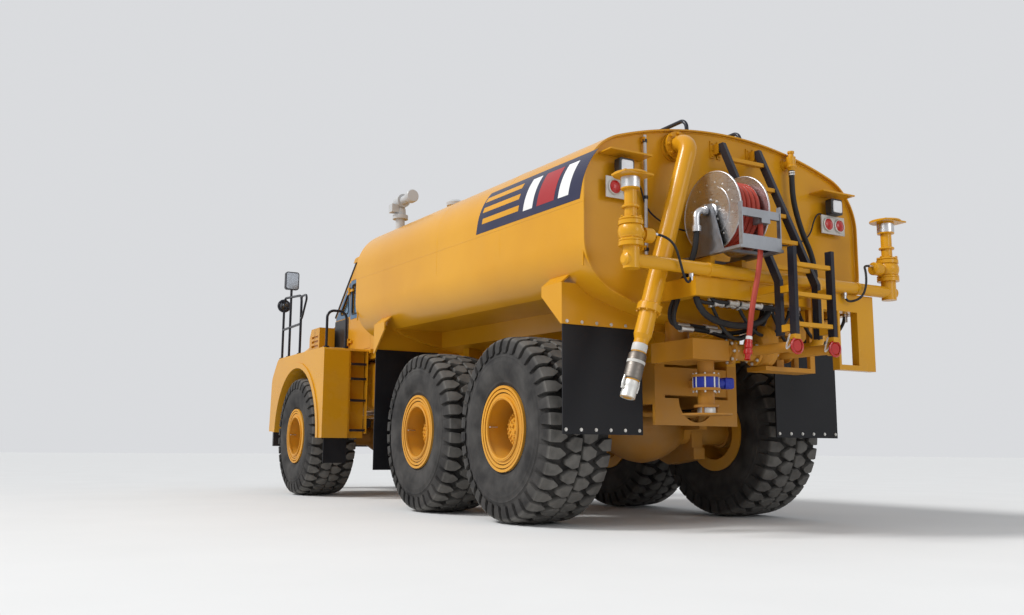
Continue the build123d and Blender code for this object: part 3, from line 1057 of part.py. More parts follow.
with BuildPart() as rear_lamps:
    work_low = LAMP_Z + LAMP_PLATE[1] / 2
    for side in SIDES:
        for lens_y in (-80, 80):
            lens = (side * LAMP_Y + lens_y, LAMP_Z)
            add(rod((plate_x[0] - 35, *lens), (plate_x[0], *lens), LENS_RADIUS))
        work_y = side * (LAMP_Y - 10)
        add(span((plate_x[0] - 70, plate_x[1]), (work_y - 65, work_y + 65), (work_low, work_low + 130)))
    for rail_y in (LADDER_LEFT_Y, LADDER_RIGHT_Y):
        cap_x = PUMP_X - OUTLET_REACH - SEAT_GAP
        add(turned([(0, 55), (27, 55), (35, 42)], (cap_x, rail_y, LADDER_FOOT_Z - OUTLET_DROP), (-1, 0, 0)))
write(rear_lamps.part, "rear_lamps")

# Water monitor on the tank's front left corner
monitor_z = tank_top_at(MONITOR_X, MONITOR_Y) + MONITOR_HEIGHT
with BuildPart() as monitor_base:
    add(rod((MONITOR_X, MONITOR_Y, monitor_z - 330), (MONITOR_X, MONITOR_Y, monitor_z), 62))
    add(rod((MONITOR_X, MONITOR_Y, monitor_z - 24), (MONITOR_X, MONITOR_Y, monitor_z), 105))
    add(crown_cut, mode=Mode.SUBTRACT)
write(monitor_base.part, "monitor_base")

with BuildPart() as monitor_nozzle:
    low = monitor_z + SEAT_GAP
    add(turned([(0, 105), (30, 105), (30, 76), (120, 70)], (MONITOR_X, MONITOR_Y, low), (0, 0, 1)))
    barrel_z = low + 220
    add(tube_run([(MONITOR_X, MONITOR_Y, low + 60), (MONITOR_X, MONITOR_Y, barrel_z),
                  (MONITOR_X + 150, MONITOR_Y, barrel_z)], 75, 62))
    # start ahead of the pedestal, and radius, of each corner along the barrel
    barrel = [(-160, 46), (-150, 60), (-60, 60), (-60, 92), (110, 92), (110, 60), (300, 54), (300, 76), (330, 88),
              (400, 88), (420, 78)]
    add(turned(barrel, (MONITOR_X, MONITOR_Y, barrel_z), (-1, 0, 0)))
    add(span((MONITOR_X - 60, MONITOR_X + 60), (MONITOR_Y + 50, MONITOR_Y + 150), (low + 60, low + 170)))
write(monitor_nozzle.part, "monitor_nozzle")

# Engine block and radiator on the front frame
with BuildPart() as engine:
    radiator_front = HOOD_NOSE_X - RADIATOR_SET
    radiator_back = radiator_front - RADIATOR_THICK
    add(span((HOOD_REAR_X + ENGINE_SET, radiator_back - FAN_GAP), (-ENGINE_HALF, ENGINE_HALF),
             (FRONT_RAIL_TOP, ENGINE_TOP)))
    add(span((radiator_back, radiator_front), (-RADIATOR_HALF, RADIATOR_HALF), (FRONT_RAIL_TOP, RADIATOR_TOP)))
write(engine.part, "engine")

# Fenders over the front wheels
fender_outline = [
    (FENDER_REAR_X, FENDER_REAR_Z), (FENDER_REAR_X, FENDER_TOP), (FENDER_FRONT_X - 380, FENDER_TOP),
    (FENDER_FRONT_X - 60, FENDER_TOP - 330), (FENDER_FRONT_X, FENDER_FRONT_Z),
    (FENDER_FRONT_X - 80, FENDER_FRONT_Z), (FRONT_AXLE_X, AXLE_Z), (FENDER_REAR_X + 80, FENDER_REAR_Z),
]
with BuildPart() as fenders:
    for side in SIDES:
        low, high = sorted((side * FENDER_INNER_Y, side * FENDER_OUTER_Y))
        add(side_plate(fender_outline, low, high))
        with BuildPart(mode=Mode.PRIVATE) as lip:
            add(side_plate(fender_outline, *sorted((side * FENDER_OUTER_Y, side * (FENDER_OUTER_Y + ARCH_LIP_OUT)))))
            add(rod((FRONT_AXLE_X, -2000, AXLE_Z), (FRONT_AXLE_X, 2000, AXLE_Z), ARCH_RADIUS + ARCH_LIP),
                mode=Mode.INTERSECT)
        add(lip.part)
    upper_edges = [edge for edge in fenders.edges().filter_by(Axis.Y) if edge.center().Z > FENDER_TOP - 400]
    fillet([edge for edge in upper_edges if edge.center().X < FRONT_AXLE_X], FENDER_ROUND / 4)
    fillet([edge for edge in fenders.edges().filter_by(Axis.Y)
            if edge.center().X > FRONT_AXLE_X and edge.center().Z > FENDER_TOP - 400], FENDER_ROUND)
    add(rod((FRONT_AXLE_X, -2000, AXLE_Z), (FRONT_AXLE_X, 2000, AXLE_Z), ARCH_RADIUS), mode=Mode.SUBTRACT)
    add(span((FENDER_REAR_X - 10, FENDER_REAR_X + LADDER_BAY_DEPTH), (FENDER_INNER_Y - 10, LADDER_BAY_Y),
             (0, FENDER_TOP - 40)), mode=Mode.SUBTRACT)
    for side in SIDES:
        low, high = sorted((side * CAB_HALF, side * FENDER_INNER_Y))
        add(span((CAB_REAR_X + 300, CAB_FRONT_X), (low, high), (FENDER_TOP - 60, FENDER_TOP)))
    # Air intake pod on the left deck beside the hood
    pod_x = (FRONT_AXLE_X + POD_AHEAD, FRONT_AXLE_X + POD_AHEAD + POD_LENGTH)
    pod_high = FENDER_TOP + POD_HEIGHT
    pod = [(pod_x[0], FENDER_TOP - 5), (pod_x[1], FENDER_TOP - 5), (pod_x[1], pod_high - 140), (pod_x[1] - 90, pod_high),
           (pod_x[0], pod_high)]
    add(side_plate(pod, FENDER_INNER_Y + 10, FENDER_INNER_Y + 10 + POD_WIDTH))
    for slot in range(4):
        slot_z = FENDER_TOP + 90 + slot * 75
        add(span((pod_x[0] + 60, pod_x[1] - 110), (FENDER_INNER_Y + POD_WIDTH - 15, FENDER_INNER_Y + POD_WIDTH + 20),
                 (slot_z, slot_z + 38)), mode=Mode.SUBTRACT)
write(fenders.part, "fenders")

# Access ladder in the left fender's bay
with BuildPart() as access_ladder:
    bay_back = FENDER_REAR_X + LADDER_BAY_DEPTH
    for rail_y in (FENDER_INNER_Y + 6, LADDER_BAY_Y - 30):
        add(span((FENDER_REAR_X + 20, FENDER_REAR_X + 80), (rail_y, rail_y + 24), (940, FENDER_TOP - 40)))
    for step_z in (970, 1410, 1730, 1950):
        add(span((FENDER_REAR_X + 10, FENDER_REAR_X + 170), (FENDER_INNER_Y + 30, LADDER_BAY_Y - 30),
                 (step_z, step_z + 30)))
write(access_ladder.part, "access_ladder")

# Flaps behind the front wheels
with BuildPart() as front_flaps:
    for side in SIDES:
        low = LADDER_BAY_Y if side > 0 else FENDER_INNER_Y
        add(span((FENDER_REAR_X + 20, FENDER_REAR_X + 20 + FLAP_THICK), sorted((side * low, side * (FENDER_OUTER_Y - 40))),
                 (510, FENDER_REAR_Z)))
write(front_flaps.part, "front_flaps")

# Handrails along the fender decks, with the mirrors on their posts
with BuildPart() as handrails:
    rail_y = FENDER_OUTER_Y - RAIL_SET
    post_front, post_mid, post_back = (FRONT_AXLE_X + set_ahead for set_ahead in (1000, 620, 50))
    for side in SIDES:
        y = side * rail_y
        rail_slope = 80
        add(tube_run([(post_front, y, FENDER_TOP), (post_front, y, RAIL_TOP_Z), (post_back, y, RAIL_TOP_Z - rail_slope),
                      (post_back, y, FENDER_TOP)], 110, RAIL_TUBE))
        add(rod((post_front, y, RAIL_LOW_Z), (post_back, y, RAIL_LOW_Z), RAIL_TUBE))
        add(rod((post_mid, y, FENDER_TOP), (post_mid, y, MIRROR_TOP_Z - 20), RAIL_TUBE))
        with BuildSketch(Plane.YZ.offset(post_mid - 30)):
            with Locations((y, MIRROR_TOP_Z - 130)):
                RectangleRounded(230, 300, 40)
        extrude(amount=60)
        add(turned([(-12, 90), (0, 112), (18, 112), (30, 80)], (post_front, y, RAIL_TOP_Z - 130), (1, 0, 0)))
        # Hand loop at the head of the access ladder, and its like on the right
        loop_x = FENDER_REAR_X + LOOP_SET
        loop_y = (side * (LADDER_BAY_Y + 40), side * (FENDER_OUTER_Y - RAIL_SET))
        add(tube_run([(loop_x, loop_y[0], FENDER_TOP), (loop_x, loop_y[0], RAIL_LOW_Z + 60),
                      (loop_x, loop_y[1], RAIL_LOW_Z + 60), (loop_x, loop_y[1], FENDER_TOP)], 110, RAIL_TUBE))
write(handrails.part, "handrails")

# Cab: a hollow shell with its windows and the door's opening cut
cab_outline = [
    (CAB_REAR_X, CAB_FLOOR_Z), (CAB_FRONT_X, CAB_FLOOR_Z), (CAB_FRONT_X, CAB_COWL_Z), (CAB_EAVE_X, CAB_EAVE_Z),
    (CAB_REAR_X, CAB_EAVE_Z),
]
slant = Vector(CAB_EAVE_X - CAB_FRONT_X, 0, CAB_EAVE_Z - CAB_COWL_Z).normalized()
slant_rise = -slant.Z / slant.X


def slant_x(z, back=0.0):
    """Place of the windscreen's outer plane at a height, moved back along X."""
    return CAB_FRONT_X - (z - CAB_COWL_Z) / slant_rise - back


inner_front = CAB_FRONT_X - CAB_WALL
screen_back = CAB_WALL / slant.Z
inner_cowl_z = CAB_COWL_Z - (screen_back - CAB_WALL) * slant_rise
inner_top = CAB_EAVE_Z + 10
cab_inside = [
    (CAB_REAR_X + CAB_WALL, CAB_FLOOR_Z + CAB_WALL), (inner_front, CAB_FLOOR_Z + CAB_WALL),
    (inner_front, inner_cowl_z), (slant_x(inner_top, screen_back), inner_top), (CAB_REAR_X + CAB_WALL, inner_top),
]
quarter_front = CAB_FRONT_X - 220
quarter_back = DOOR_FRONT_X + 80
quarter_window = [
    (quarter_back, CAB_COWL_Z), (quarter_front, CAB_COWL_Z),
    (quarter_back, CAB_COWL_Z + (quarter_front - quarter_back) * slant_rise),
]
side_window = [
    (DOOR_REAR_X + 80, BELT_Z), (DOOR_FRONT_X - 80, BELT_Z), (DOOR_FRONT_X - 80, DOOR_TOP_Z - 80),
    (DOOR_REAR_X + 80, DOOR_TOP_Z - 80),
]
screen_plane = Plane(origin=((CAB_FRONT_X + CAB_EAVE_X) / 2, 0, (CAB_COWL_Z + CAB_EAVE_Z) / 2), x_dir=(0, 1, 0),
                     z_dir=(slant.Z, 0, -slant.X))
screen_size = (2 * CAB_HALF - 240, hypot(CAB_EAVE_X - CAB_FRONT_X, CAB_EAVE_Z - CAB_COWL_Z) - 220)
rear_window = (2 * CAB_HALF - 300, 700)
rear_window_z = BELT_Z + 420

door_hinge_y = CAB_HALF + DOOR_HINGE_OUT
door_hinges = (DOOR_SILL_Z + DOOR_HINGE_INSET, DOOR_TOP_Z - DOOR_HINGE_INSET)

with BuildPart() as cab_shell:
    add(side_plate(cab_outline, -CAB_HALF, CAB_HALF))
    fillet([edge for edge in cab_shell.edges() if abs((edge @ 0).Z - (edge @ 1).Z) > 1], CAB_ROUND)
    add(side_plate(cab_inside, CAB_WALL - CAB_HALF, CAB_HALF - CAB_WALL), mode=Mode.SUBTRACT)
    add(span((DOOR_REAR_X, DOOR_FRONT_X), (CAB_HALF - CAB_WALL - 10, CAB_HALF + 10), (DOOR_SILL_Z, DOOR_TOP_Z)),
        mode=Mode.SUBTRACT)
    add(side_plate(side_window, -CAB_HALF - 10, CAB_WALL + 10 - CAB_HALF, WINDOW_CORNER), mode=Mode.SUBTRACT)
    for side in SIDES:
        low, high = sorted((side * (CAB_HALF - CAB_WALL - 10), side * (CAB_HALF + 10)))
        add(side_plate(quarter_window, low, high, WINDOW_CORNER), mode=Mode.SUBTRACT)
    with BuildSketch(screen_plane):
        RectangleRounded(*screen_size, WINDOW_CORNER)
    extrude(amount=CAB_WALL + 10, both=True, mode=Mode.SUBTRACT)
    with BuildSketch(Plane.YZ.offset(CAB_REAR_X - 10)):
        with Locations((0, rear_window_z)):
            RectangleRounded(*rear_window, WINDOW_CORNER)
    extrude(amount=CAB_WALL + 20, mode=Mode.SUBTRACT)
    for mount_x in (CAB_REAR_X + 450, CAB_FRONT_X - 300):
        for side in SIDES:
            low, high = sorted((side * FRONT_RAIL_INNER, side * FRONT_RAIL_OUTER))
            add(span((mount_x - 60, mount_x + 60), (low, high), (FRONT_RAIL_TOP, CAB_FLOOR_Z)))
    for hinge_z in door_hinges:
        for low, high in ((hinge_z - DOOR_HINGE_HALF, hinge_z - DOOR_KNUCKLE),
                          (hinge_z + DOOR_KNUCKLE, hinge_z + DOOR_HINGE_HALF)):
            add(rod((DOOR_FRONT_X, door_hinge_y, low), (DOOR_FRONT_X, door_hinge_y, high), DOOR_KNUCKLE))
            add(span((DOOR_FRONT_X, DOOR_FRONT_X + 90), (CAB_HALF, door_hinge_y), (low, high)))
        add(rod((DOOR_FRONT_X, door_hinge_y, hinge_z - DOOR_HINGE_HALF),
                (DOOR_FRONT_X, door_hinge_y, hinge_z + DOOR_HINGE_HALF), DOOR_PIN))
write(cab_shell.part, "cab_shell")

with BuildPart() as cab_glass:
    pane = (CAB_WALL - GLASS_THICK) / 2
    add(side_plate(side_window, -CAB_HALF + pane, -CAB_HALF + pane + GLASS_THICK, WINDOW_CORNER))
    for side in SIDES:
        low, high = sorted((side * (CAB_HALF - pane), side * (CAB_HALF - pane - GLASS_THICK)))
        add(side_plate(quarter_window, low, high, WINDOW_CORNER))
    with BuildSketch(screen_plane.offset(-pane)):
        RectangleRounded(*screen_size, WINDOW_CORNER)
    extrude(amount=-GLASS_THICK)
    with BuildSketch(Plane.YZ.offset(CAB_REAR_X + pane)):
        with Locations((0, rear_window_z)):
            RectangleRounded(*rear_window, WINDOW_CORNER)
    extrude(amount=GLASS_THICK)
write(cab_glass.part, "cab_glass")

with BuildPart() as cab_roof:
    roof_outline = [
        (CAB_REAR_X - 30, CAB_EAVE_Z), (CAB_EAVE_X + 70, CAB_EAVE_Z), (CAB_EAVE_X - 20, CAB_EAVE_Z + ROOF_THICK),
        (CAB_REAR_X + 20, CAB_EAVE_Z + ROOF_THICK),
    ]
    add(side_plate(roof_outline, -CAB_HALF - 20, CAB_HALF + 20))
    fillet(cab_roof.faces().sort_by(Axis.Z)[-1].edges(), ROOF_ROUND)
write(cab_roof.part, "cab_roof")

with BuildPart() as cab_door:
    add(span((DOOR_REAR_X + SWING_GAP, DOOR_FRONT_X - SWING_GAP), (CAB_HALF - CAB_WALL, CAB_HALF),
             (DOOR_SILL_Z + SWING_GAP, DOOR_TOP_Z - SWING_GAP)))
    add(side_plate(side_window, CAB_HALF - CAB_WALL - 10, CAB_HALF + 10, WINDOW_CORNER), mode=Mode.SUBTRACT)
    for hinge_z in door_hinges:
        low, high = hinge_z - DOOR_KNUCKLE + SEAT_GAP, hinge_z + DOOR_KNUCKLE - SEAT_GAP
        add(span((DOOR_FRONT_X - 140, DOOR_FRONT_X - SWING_GAP), (CAB_HALF, door_hinge_y), (low, high)))
        add(span((DOOR_FRONT_X - SWING_GAP, DOOR_FRONT_X), (door_hinge_y - DOOR_KNUCKLE, door_hinge_y), (low, high)))
        add(rod((DOOR_FRONT_X, door_hinge_y, low), (DOOR_FRONT_X, door_hinge_y, high), DOOR_KNUCKLE))
        add(rod((DOOR_FRONT_X, door_hinge_y, low), (DOOR_FRONT_X, door_hinge_y, high), DOOR_PIN + SEAT_GAP),
            mode=Mode.SUBTRACT)
write(cab_door.part, "cab_door")

with BuildPart() as door_glass:
    add(side_plate(side_window, CAB_HALF - pane - GLASS_THICK, CAB_HALF - pane, WINDOW_CORNER))
write(door_glass.part, "door_glass")

# Operator's seat, dash and steering column
with BuildPart() as operator_seat:
    floor = CAB_FLOOR_Z + CAB_WALL
    seat_x = CAB_REAR_X + OPERATOR_SET
    dash_x = CAB_FRONT_X - DASH_DEPTH
    add(span((seat_x + 70, seat_x + 470), (-220, 220), (floor, floor + 330)))
    add(span((seat_x, seat_x + 540), (-270, 270), (floor + 330, floor + 470)))
    add(side_plate([(seat_x, floor + 470), (seat_x + 140, floor + 470), (seat_x + 20, floor + 1150),
                    (seat_x - 100, floor + 1150)], -260, 260))
    add(span((dash_x, inner_front), (-800, 800), (floor, floor + 680)))
    add(rod((dash_x + 20, 0, floor + 560), (dash_x - 240, 0, floor + 720), 35))
    add(rod((dash_x - 225, 0, floor + 711), (dash_x - 250, 0, floor + 726), 210))
write(operator_seat.part, "operator_seat")

# Exhaust stack behind the cab's right side
with BuildPart() as exhaust_stack:
    stack = (CAB_REAR_X + STACK_SET, STACK_Y)
    muffler_low = FENDER_TOP - 300
    add(turned([(muffler_low, 60), (muffler_low + 30, 95), (STACK_TOP - 590, 95), (STACK_TOP - 560, 60),
                (STACK_TOP, 60)], (*stack, 0), (0, 0, 1)))
    mitre = [(stack[0] - 90, STACK_TOP - 130), (stack[0] + 90, STACK_TOP + 10), (stack[0] - 90, STACK_TOP + 10)]
    add(side_plate(mitre, stack[1] - 90, stack[1] + 90), mode=Mode.SUBTRACT)
    add(span((stack[0] - 60, stack[0] + 60), sorted((STACK_Y + 80, -CAB_HALF)), (FENDER_TOP + 100, FENDER_TOP + 180)))
write(exhaust_stack.part, "exhaust_stack")

# Fuel and hydraulic tanks on the frame's sides
with BuildPart() as side_tanks:
    for side in SIDES:
        low, high = sorted((side * FRONT_RAIL_OUTER, side * SIDE_TANK_OUTER))
        add(span((YOKE_BACK + 80, YOKE_BACK + 620), (low, high), (FRONT_RAIL_BOTTOM, CAB_FLOOR_Z - 20)))
    fillet([edge for edge in side_tanks.edges().filter_by(Axis.X) if abs(edge.center().Y) > SIDE_TANK_OUTER - 1], 120)
write(side_tanks.part, "side_tanks")

# Bumper across the nose, with tow lugs and headlamps
with BuildPart() as bumper:
    bumper_front = HALF_LENGTH - TOW_LUG
    plan = [(bumper_front, BUMPER_HALF - BUMPER_CORNER), (bumper_front - BUMPER_TAPER, BUMPER_HALF),
            (BUMPER_BACK_X, BUMPER_HALF)]
    with BuildSketch(Plane.XY.offset(BUMPER_BOTTOM)):
        with BuildLine():
            Polyline(*plan, *[(x, -y) for x, y in reversed(plan)], close=True)
        make_face()
    extrude(amount=BUMPER_TOP - BUMPER_BOTTOM)
    fillet([edge for edge in bumper.edges().filter_by(Axis.Y) if edge.center().X > bumper_front - 1], 45)
    for side in SIDES:
        low, high = sorted((side * FRONT_RAIL_INNER, side * FRONT_RAIL_OUTER))
        add(span((FRONT_FRAME_END, BUMPER_BACK_X + 60), (low, high), (BUMPER_TOP - 100, FRONT_RAIL_TOP)))
        arm_y = side * HOOD_ARM_Y
        for cheek in SIDES:
            cheek_near = arm_y + cheek * (HOOD_ARM_HALF + SWING_GAP)
            add(span((HOOD_HINGE_X - 45, HOOD_HINGE_X + 45), sorted((cheek_near, cheek_near + cheek * 24)),
                     (BUMPER_TOP, HOOD_HINGE_Z + 45)))
        add(rod((HOOD_HINGE_X, arm_y - 50, HOOD_HINGE_Z), (HOOD_HINGE_X, arm_y + 50, HOOD_HINGE_Z),
                HOOD_PIN_RADIUS))
        lug_y = side * TOW_LUG_Y
        add(span((bumper_front, HALF_LENGTH), (lug_y - 30, lug_y + 30), (TOW_LUG_Z - 75, TOW_LUG_Z + 75)))
        lug_x = HALF_LENGTH - TOW_LUG / 2
        add(rod((lug_x, lug_y - 50, TOW_LUG_Z), (lug_x, lug_y + 50, TOW_LUG_Z), 20), mode=Mode.SUBTRACT)
write(bumper.part, "bumper")

with BuildPart() as headlamps:
    for side in SIDES:
        for lamp_y in HEADLAMP_Y:
            add(turned([(0, HEADLAMP_RADIUS), (26, HEADLAMP_RADIUS), (40, HEADLAMP_RADIUS * 0.6)],
                       (HALF_LENGTH - TOW_LUG, side * lamp_y, HEADLAMP_Z), (1, 0, 0)))
write(headlamps.part, "headlamps")

# Hood: a shell open below and behind, tilting about its front edge
hood_outline = [
    (HOOD_REAR_X, HOOD_BOTTOM), (HOOD_REAR_X, HOOD_REAR_TOP), (HOOD_NOSE_X - 300, HOOD_NOSE_TOP),
    (HOOD_NOSE_X - 60, HOOD_NOSE_TOP - 140), (HOOD_NOSE_X, HOOD_BOTTOM),
]
hood_inside = [
    (HOOD_REAR_X - 10, HOOD_BOTTOM - 10), (HOOD_REAR_X - 10, HOOD_REAR_TOP - HOOD_SHELL),
    (HOOD_NOSE_X - 300, HOOD_NOSE_TOP - HOOD_SHELL), (HOOD_NOSE_X - 60 - HOOD_SHELL, HOOD_NOSE_TOP - 140 - HOOD_SHELL),
    (HOOD_NOSE_X - HOOD_SHELL, HOOD_BOTTOM - 10),
]
grille_half = HOOD_HALF - 220
grille_low = HOOD_BOTTOM + 90
grille_high = HOOD_NOSE_TOP - 230
with BuildPart() as hood:
    add(side_plate(hood_outline, -HOOD_HALF, HOOD_HALF))
    long_edges = [edge for edge in hood.edges() if abs((edge @ 0).X - (edge @ 1).X) > 100]
    fillet([edge for edge in long_edges if edge.center().Z > HOOD_BOTTOM + 200], HOOD_ROUND)
    add(side_plate(hood_inside, HOOD_SHELL - HOOD_HALF, HOOD_HALF - HOOD_SHELL), mode=Mode.SUBTRACT)
    add(span((HOOD_NOSE_X - 250, HOOD_NOSE_X + 10), (-grille_half, grille_half), (grille_low, grille_high)),
        mode=Mode.SUBTRACT)
    for side in SIDES:
        arm_y = side * HOOD_ARM_Y
        add(side_plate([(HOOD_HINGE_X - 60, HOOD_BOTTOM), (HOOD_NOSE_X - HOOD_SHELL, HOOD_BOTTOM),
                        (HOOD_HINGE_X + 50, HOOD_HINGE_Z - 40), (HOOD_HINGE_X - 50, HOOD_HINGE_Z - 40)],
                       arm_y - HOOD_ARM_HALF, arm_y + HOOD_ARM_HALF))
        add(span((HOOD_HINGE_X - 60, HOOD_NOSE_X - HOOD_SHELL), (arm_y - HOOD_ARM_HALF, arm_y + HOOD_ARM_HALF),
                 (HOOD_BOTTOM, HOOD_BOTTOM + 60)))
        add(rod((HOOD_HINGE_X, arm_y - 60, HOOD_HINGE_Z), (HOOD_HINGE_X, arm_y + 60, HOOD_HINGE_Z),
                HOOD_PIN_RADIUS + SEAT_GAP), mode=Mode.SUBTRACT)
write(hood.part, "hood")

with BuildPart() as grille:
    slat_x = (HOOD_NOSE_X - 80, HOOD_NOSE_X - 40)
    add(span(slat_x, (-grille_half, -grille_half + 40), (grille_low, grille_high)))
    add(span(slat_x, (grille_half - 40, grille_half), (grille_low, grille_high)))
    slat_count = 5
    for slat in range(slat_count):
        slat_z = grille_low + (grille_high - grille_low - 40) * slat / (slat_count - 1)
        add(span(slat_x, (-grille_half, grille_half), (slat_z, slat_z + 40)))
write(grille.part, "grille")

# Steering cylinders, one each side between the front frame and the hitch
cyl_way = Vector(CYL_REAR_X - CYL_FRONT_X, CYL_REAR_Y - CYL_FRONT_Y, 0)
cyl_span = cyl_way.length
for hand, side in (("left", 1), ("right", -1)):
    front_eye = Vector(CYL_FRONT_X, side * CYL_FRONT_Y, CYL_Z)
    rear_eye = Vector(CYL_REAR_X, side * CYL_REAR_Y, CYL_Z)
    way = (rear_eye - front_eye).normalized()
    barrel_end = front_eye + way * CYL_LENGTH
    with BuildPart() as steering_barrel:
        add(rod(tuple(front_eye + way * 40), tuple(barrel_end), CYL_BARREL_RADIUS))
        add(rod(tuple(front_eye - Vector(0, 0, 55)), tuple(front_eye + Vector(0, 0, CYL_EYE_HEIGHT)), CYL_BARREL_RADIUS))
        add(rod(tuple(front_eye + way * CYL_BORE_START), tuple(barrel_end), CYL_ROD_RADIUS + SEAT_GAP), mode=Mode.SUBTRACT)
    write(steering_barrel.part, f"steering_barrel_{hand}")
    with BuildPart() as steering_rod:
        add(rod(tuple(front_eye + way * ROD_START), tuple(rear_eye - way * 30), CYL_ROD_RADIUS))
        add(rod(tuple(rear_eye - Vector(0, 0, CYL_Z - eye_low - 40 - SEAT_GAP)), tuple(rear_eye + Vector(0, 0, 45)), 58))
    write(steering_rod.part, f"steering_rod_{hand}")
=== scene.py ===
"""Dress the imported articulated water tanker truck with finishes, tread, fittings, a stage and a camera.

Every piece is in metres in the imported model's frame: +X to the nose, +Y to the truck's left and +Z up.
"""
from __future__ import annotations

import json
import logging
import math
from dataclasses import dataclass, field
from enum import Enum
from typing import Iterable, Sequence

import bmesh
import bpy
import numpy as np
from mathutils import Matrix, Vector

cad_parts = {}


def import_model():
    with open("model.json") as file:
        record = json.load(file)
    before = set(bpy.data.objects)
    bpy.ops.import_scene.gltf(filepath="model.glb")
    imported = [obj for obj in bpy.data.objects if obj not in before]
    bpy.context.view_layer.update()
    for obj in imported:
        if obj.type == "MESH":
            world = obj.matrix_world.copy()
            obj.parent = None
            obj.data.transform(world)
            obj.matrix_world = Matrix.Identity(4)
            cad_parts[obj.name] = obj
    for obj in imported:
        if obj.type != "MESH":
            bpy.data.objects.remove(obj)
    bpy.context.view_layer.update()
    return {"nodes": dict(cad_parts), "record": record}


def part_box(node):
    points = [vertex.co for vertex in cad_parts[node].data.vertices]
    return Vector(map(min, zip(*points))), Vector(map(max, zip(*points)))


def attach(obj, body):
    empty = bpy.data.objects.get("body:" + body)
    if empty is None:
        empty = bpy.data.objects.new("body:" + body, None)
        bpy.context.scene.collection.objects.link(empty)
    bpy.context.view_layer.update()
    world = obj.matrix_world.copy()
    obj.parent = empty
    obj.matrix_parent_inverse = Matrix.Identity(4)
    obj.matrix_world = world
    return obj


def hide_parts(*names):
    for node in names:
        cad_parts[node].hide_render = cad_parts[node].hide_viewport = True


Array = np.ndarray
Colour = tuple[float, float, float]
Point = Sequence[float]
Socket = bpy.types.NodeSocket

LOG = logging.getLogger("water_tanker")
# The truck's sides, as signs across it and by name
HANDS = {1.0: "left", -1.0: "right"}
SIDES = tuple(HANDS)
AHEAD, ASTERN = (1.0, 0.0, 0.0), (-1.0, 0.0, 0.0)
ACROSS, UP = (0.0, 1.0, 0.0), (0.0, 0.0, 1.0)
FULL_TURN = 2.0 * math.pi
ROOT = "rear_chassis"
TRACTOR = "tractor"
# The windscreen: its lower edge, how far it goes back and up, and the directions up the glass and off it
SCREEN_FOOT = np.array([3.402, 0.0, 2.882])
SCREEN_BACK, SCREEN_RISE = 0.90, 0.78
SCREEN_UP = np.array([-SCREEN_BACK, 0.0, SCREEN_RISE]) / math.hypot(SCREEN_BACK, SCREEN_RISE)
SCREEN_OUT = np.array([SCREEN_RISE, 0.0, SCREEN_BACK]) / math.hypot(SCREEN_BACK, SCREEN_RISE)


@dataclass
class Surface:
    """A faceted surface.

    Args:
        points: Rows of x, y and z.
        quads: Rows of four point numbers.
        triangles: Rows of three point numbers.
    """

    points: Array
    quads: Array = field(default_factory=lambda: np.zeros((0, 4), int))
    triangles: Array = field(default_factory=lambda: np.zeros((0, 3), int))

    def placed(self, origin: Point, u: Point, v: Point, w: Point) -> Surface:
        """Carry each point (a, b, c) to origin + a u + b v + c w.

        Args:
            origin: Where the surface's own origin goes.
            u: Direction of the first coordinate.
            v: Direction of the second coordinate.
            w: Direction of the third coordinate.

        Returns:
            The surface in its new place.
        """
        return Surface(np.asarray(origin, float) + self.points @ np.array([u, v, w], float), self.quads, self.triangles)

    def repeated(self, offsets: Array) -> Surface:
        """Copy the surface to each offset.

        Args:
            offsets: Rows of x, y and z.

        Returns:
            All the copies as one surface.
        """
        rows = np.asarray(offsets, float)
        return merged(Surface(self.points + row, self.quads, self.triangles) for row in rows)


def merged(surfaces: Iterable[Surface]) -> Surface:
    """Put surfaces together, with their point numbers shifted in turn.

    Args:
        surfaces: The surfaces to put together.

    Returns:
        One surface.
    """
    parts = list(surfaces)
    shifts = np.cumsum([0] + [len(part.points) for part in parts[:-1]])
    return Surface(
        np.vstack([part.points for part in parts]),
        np.vstack([part.quads + shift for part, shift in zip(parts, shifts)]),
        np.vstack([part.triangles + shift for part, shift in zip(parts, shifts)]),
    )


def grid(points: Array, round_rows: bool = False, round_columns: bool = False, caps: bool = False) -> Surface:
    """Join neighbouring points of a grid with quads.

    Args:
        points: Rows by columns by three coordinates.
        round_rows: Join the last row to the first.
        round_columns: Join the last column to the first.
        caps: Close the first and last rows with fans round their middles.

    Returns:
        The faceted grid.
    """
    rows, columns = points.shape[:2]
    numbers = np.arange(rows * columns).reshape(rows, columns)
    looped = np.vstack((numbers, numbers[:1])) if round_rows else numbers
    looped = np.hstack((looped, looped[:, :1])) if round_columns else looped
    quads = np.stack((looped[:-1, :-1], looped[:-1, 1:], looped[1:, 1:], looped[1:, :-1]), axis=-1).reshape(-1, 4)
    flat = points.reshape(-1, 3)
    if not caps:
        return Surface(flat, quads)
    middles = np.array([points[0].mean(axis=0), points[-1].mean(axis=0)])
    fans = [
        np.column_stack((ring, np.roll(ring, -1), np.full(columns, rows * columns + end)))
        for end, ring in enumerate((numbers[0], numbers[-1]))
    ]
    return Surface(np.vstack((flat, middles)), quads, np.vstack(fans))


def slab(outer: Array, inner: Array) -> Surface:
    """Close the space between two grids of the same shape, face to face and round the edges.

    Args:
        outer: Rows by columns by three coordinates.
        inner: The same grid, further in.

    Returns:
        A closed shell.
    """
    def edge(points: Array) -> Array:
        """The grid's border in order round it."""
        return np.vstack((points[0, :-1], points[:-1, -1], points[-1, :0:-1], points[:0:-1, 0]))

    return merged((grid(outer), grid(inner), grid(np.stack((edge(outer), edge(inner))), round_columns=True)))


